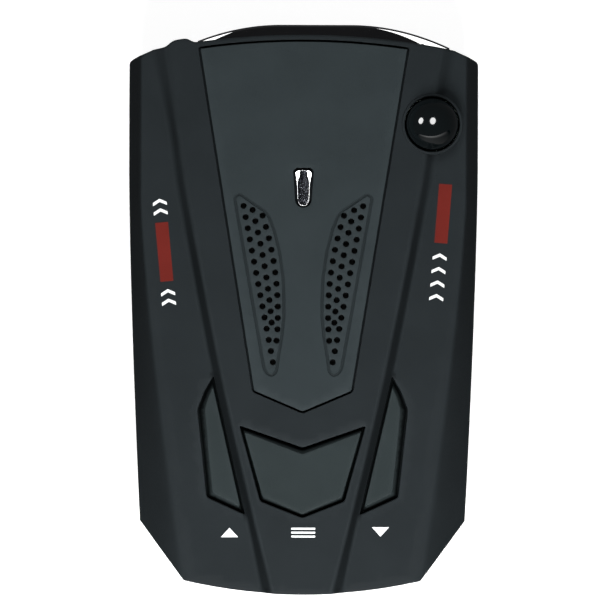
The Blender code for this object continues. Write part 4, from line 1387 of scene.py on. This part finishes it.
def floor():
    mat, tree, bsdf = new_material("pale_floor")
    shade = mix(tree, noise(tree, coords(tree), 160.0), (0.86, 0.86, 0.86, 1), (0.9, 0.9, 0.9, 1))
    fill(tree, bsdf, {"Base Color": shade, "Roughness": 0.8,
                      "Emission Color": (1.0, 1.0, 1.0, 1.0), "Emission Strength": 0.55})
    mesh = bpy.data.meshes.new("floor")
    corners = [(x * FLOOR_REACH, y * FLOOR_REACH, 0) for x, y in ((-1, -1), (1, -1), (1, 1), (-1, 1))]
    mesh.from_pydata(corners, [], [(0, 1, 2, 3)])
    mesh.materials.append(mat)
    obj = added("floor", mesh)
    obj.location.z = -FLOOR_DROP * MM
    obj.visible_diffuse = False
    obj.visible_glossy = False


def softbox(name, tilt, azimuth, metres, size, radiance, shape="ELLIPSE", reflected=True, only=()):
    """A flat light facing the object, tilted from straight up towards an azimuth from +X."""
    light = bpy.data.lights.new(name, "AREA")
    light.shape = shape
    light.size, light.size_y = size
    area = size[0] * size[1] * (math.pi / 4 if shape == "ELLIPSE" else 1.0)
    light.energy = radiance * math.pi * area
    obj = added(name, light)
    obj.visible_camera = False
    obj.visible_glossy = reflected
    tilt, azimuth = math.radians(tilt), math.radians(azimuth)
    way = Vector((math.sin(tilt) * math.cos(azimuth), math.sin(tilt) * math.sin(azimuth), math.cos(tilt)))
    obj.location = way * metres
    obj.rotation_euler = way.to_track_quat("Z", "Y").to_euler()
    if only:
        lit = bpy.data.collections.new(f"{name}_lit")
        for piece in only:
            lit.objects.link(piece)
        obj.light_linking.receiver_collection = lit


def lights():
    window = bpy.data.objects["window_front"]
    glossy = [bpy.data.objects[name] for name in ("laser_dome", "accent_ring", "accent_core")]
    softbox("key_left", 52.7, 162.4, 1.0, (0.44, 0.38), 9.5, only=glossy)
    softbox("key_top", 14.0, 78.0, 1.0, (0.42, 0.52), 9.5, only=[*glossy, window])
    softbox("fill", 30.0, 92.0, 1.0, (0.5, 0.5), 8.5, reflected=False)
    softbox("rear_wash", 35.0, -88.0, 0.32, (0.2, 0.2), 15.5, reflected=False)
    softbox("front_right", 79.0, 70.0, 1.2, (0.7, 0.26), 22.0, "RECTANGLE", only=(window,))
    softbox("front_left", 79.0, 108.0, 1.2, (0.6, 0.26), 22.0, "RECTANGLE", only=(window,))
    softbox("floor_bounce", 180.0, 0.0, -0.0004, (0.5, 0.5), 0.45, reflected=False)
    world = bpy.data.worlds.new("studio")
    bpy.context.scene.world = world
    world.use_nodes = True
    sky = world.node_tree.nodes["Background"]
    fill(world.node_tree, sky, {"Color": (0.95, 0.97, 1.0, 1.0), "Strength": 0.045})


CARD_HALF_WIDE = 2.3
CARD_HALF_HIGH = 0.66
CARD_DISTANCE = 1.2
CARD_LEVEL = 0.1
CARD_TURN = -13.0


def card_glow():
    mat, tree, lamp = new_material("reflector", "ShaderNodeEmission")
    place = node(tree, "ShaderNodeTexCoord", {}, "Object")
    stretch = (1 / CARD_HALF_WIDE, 0.0, 1 / CARD_HALF_HIGH)
    spot = node(tree, "ShaderNodeVectorMath", {0: place, 1: stretch}, operation="MULTIPLY")
    reach = node(tree, "ShaderNodeVectorMath", {0: spot}, "Value", operation="LENGTH")
    across = math_node(tree, "ABSOLUTE", node(tree, "ShaderNodeSeparateXYZ", {0: spot}, "X"))
    upper = remap(tree, node(tree, "ShaderNodeSeparateXYZ", {0: spot}, "Z"), 0.0, 1.0, -0.2, 0.4)
    rim_glow = math_node(tree, "MULTIPLY", remap(tree, reach, 0.0, 1.3, 0.6, 0.97), upper)
    whole_glow = math_node(tree, "ADD", rim_glow, 0.2)
    glow = math_node(tree, "MULTIPLY", whole_glow, remap(tree, across, 1.0, 0.0, 0.1, 0.85))
    fill(tree, lamp, {"Strength": glow})
    return mat


def reflector():
    """A large oval card low behind the object, brightest along its upper edge. Only gloss shows it."""
    angle = np.linspace(0, 2 * math.pi, 64, endpoint=False)
    mesh = bpy.data.meshes.new("reflector")
    rim = [(CARD_HALF_WIDE * math.cos(a), 0.0, CARD_HALF_HIGH * math.sin(a)) for a in angle]
    mesh.from_pydata(rim, [], [tuple(range(len(rim)))])
    mesh.materials.append(card_glow())
    card = added("reflector", mesh)
    turn = math.radians(CARD_TURN)
    card.location = (CARD_DISTANCE * math.sin(turn), -CARD_DISTANCE * math.cos(turn), CARD_LEVEL)
    card.rotation_euler = (0.0, 0.0, -turn)
    card.visible_camera = False
    card.visible_diffuse = False
    card.visible_shadow = False


FRAME_WIDTH = 123.2
LENS = 400.0
SENSOR = 36.0
VIEW_LEVEL = 18.0
AIM = (1.0, 0.2)
ROLL = 0.2


def camera():
    data = bpy.data.cameras.new("camera")
    data.lens = LENS
    data.sensor_width = SENSOR
    obj = added("camera", data)
    height = FRAME_WIDTH / SENSOR * LENS + VIEW_LEVEL
    obj.location = (AIM[0] * MM, AIM[1] * MM, height * MM)
    obj.rotation_euler = (0.0, 0.0, math.radians(ROLL))
    bpy.context.scene.camera = obj
    bpy.context.scene.view_settings.view_transform = "Standard"


upper_shell()
lower_shell()
rest_pad()
speaker_panel()
accent_pieces()
laser_dome()
front_window()
rear_pane()
keys()
cover_screws()
icons()
side_marks()
floor()
reflector()
lights()
camera()
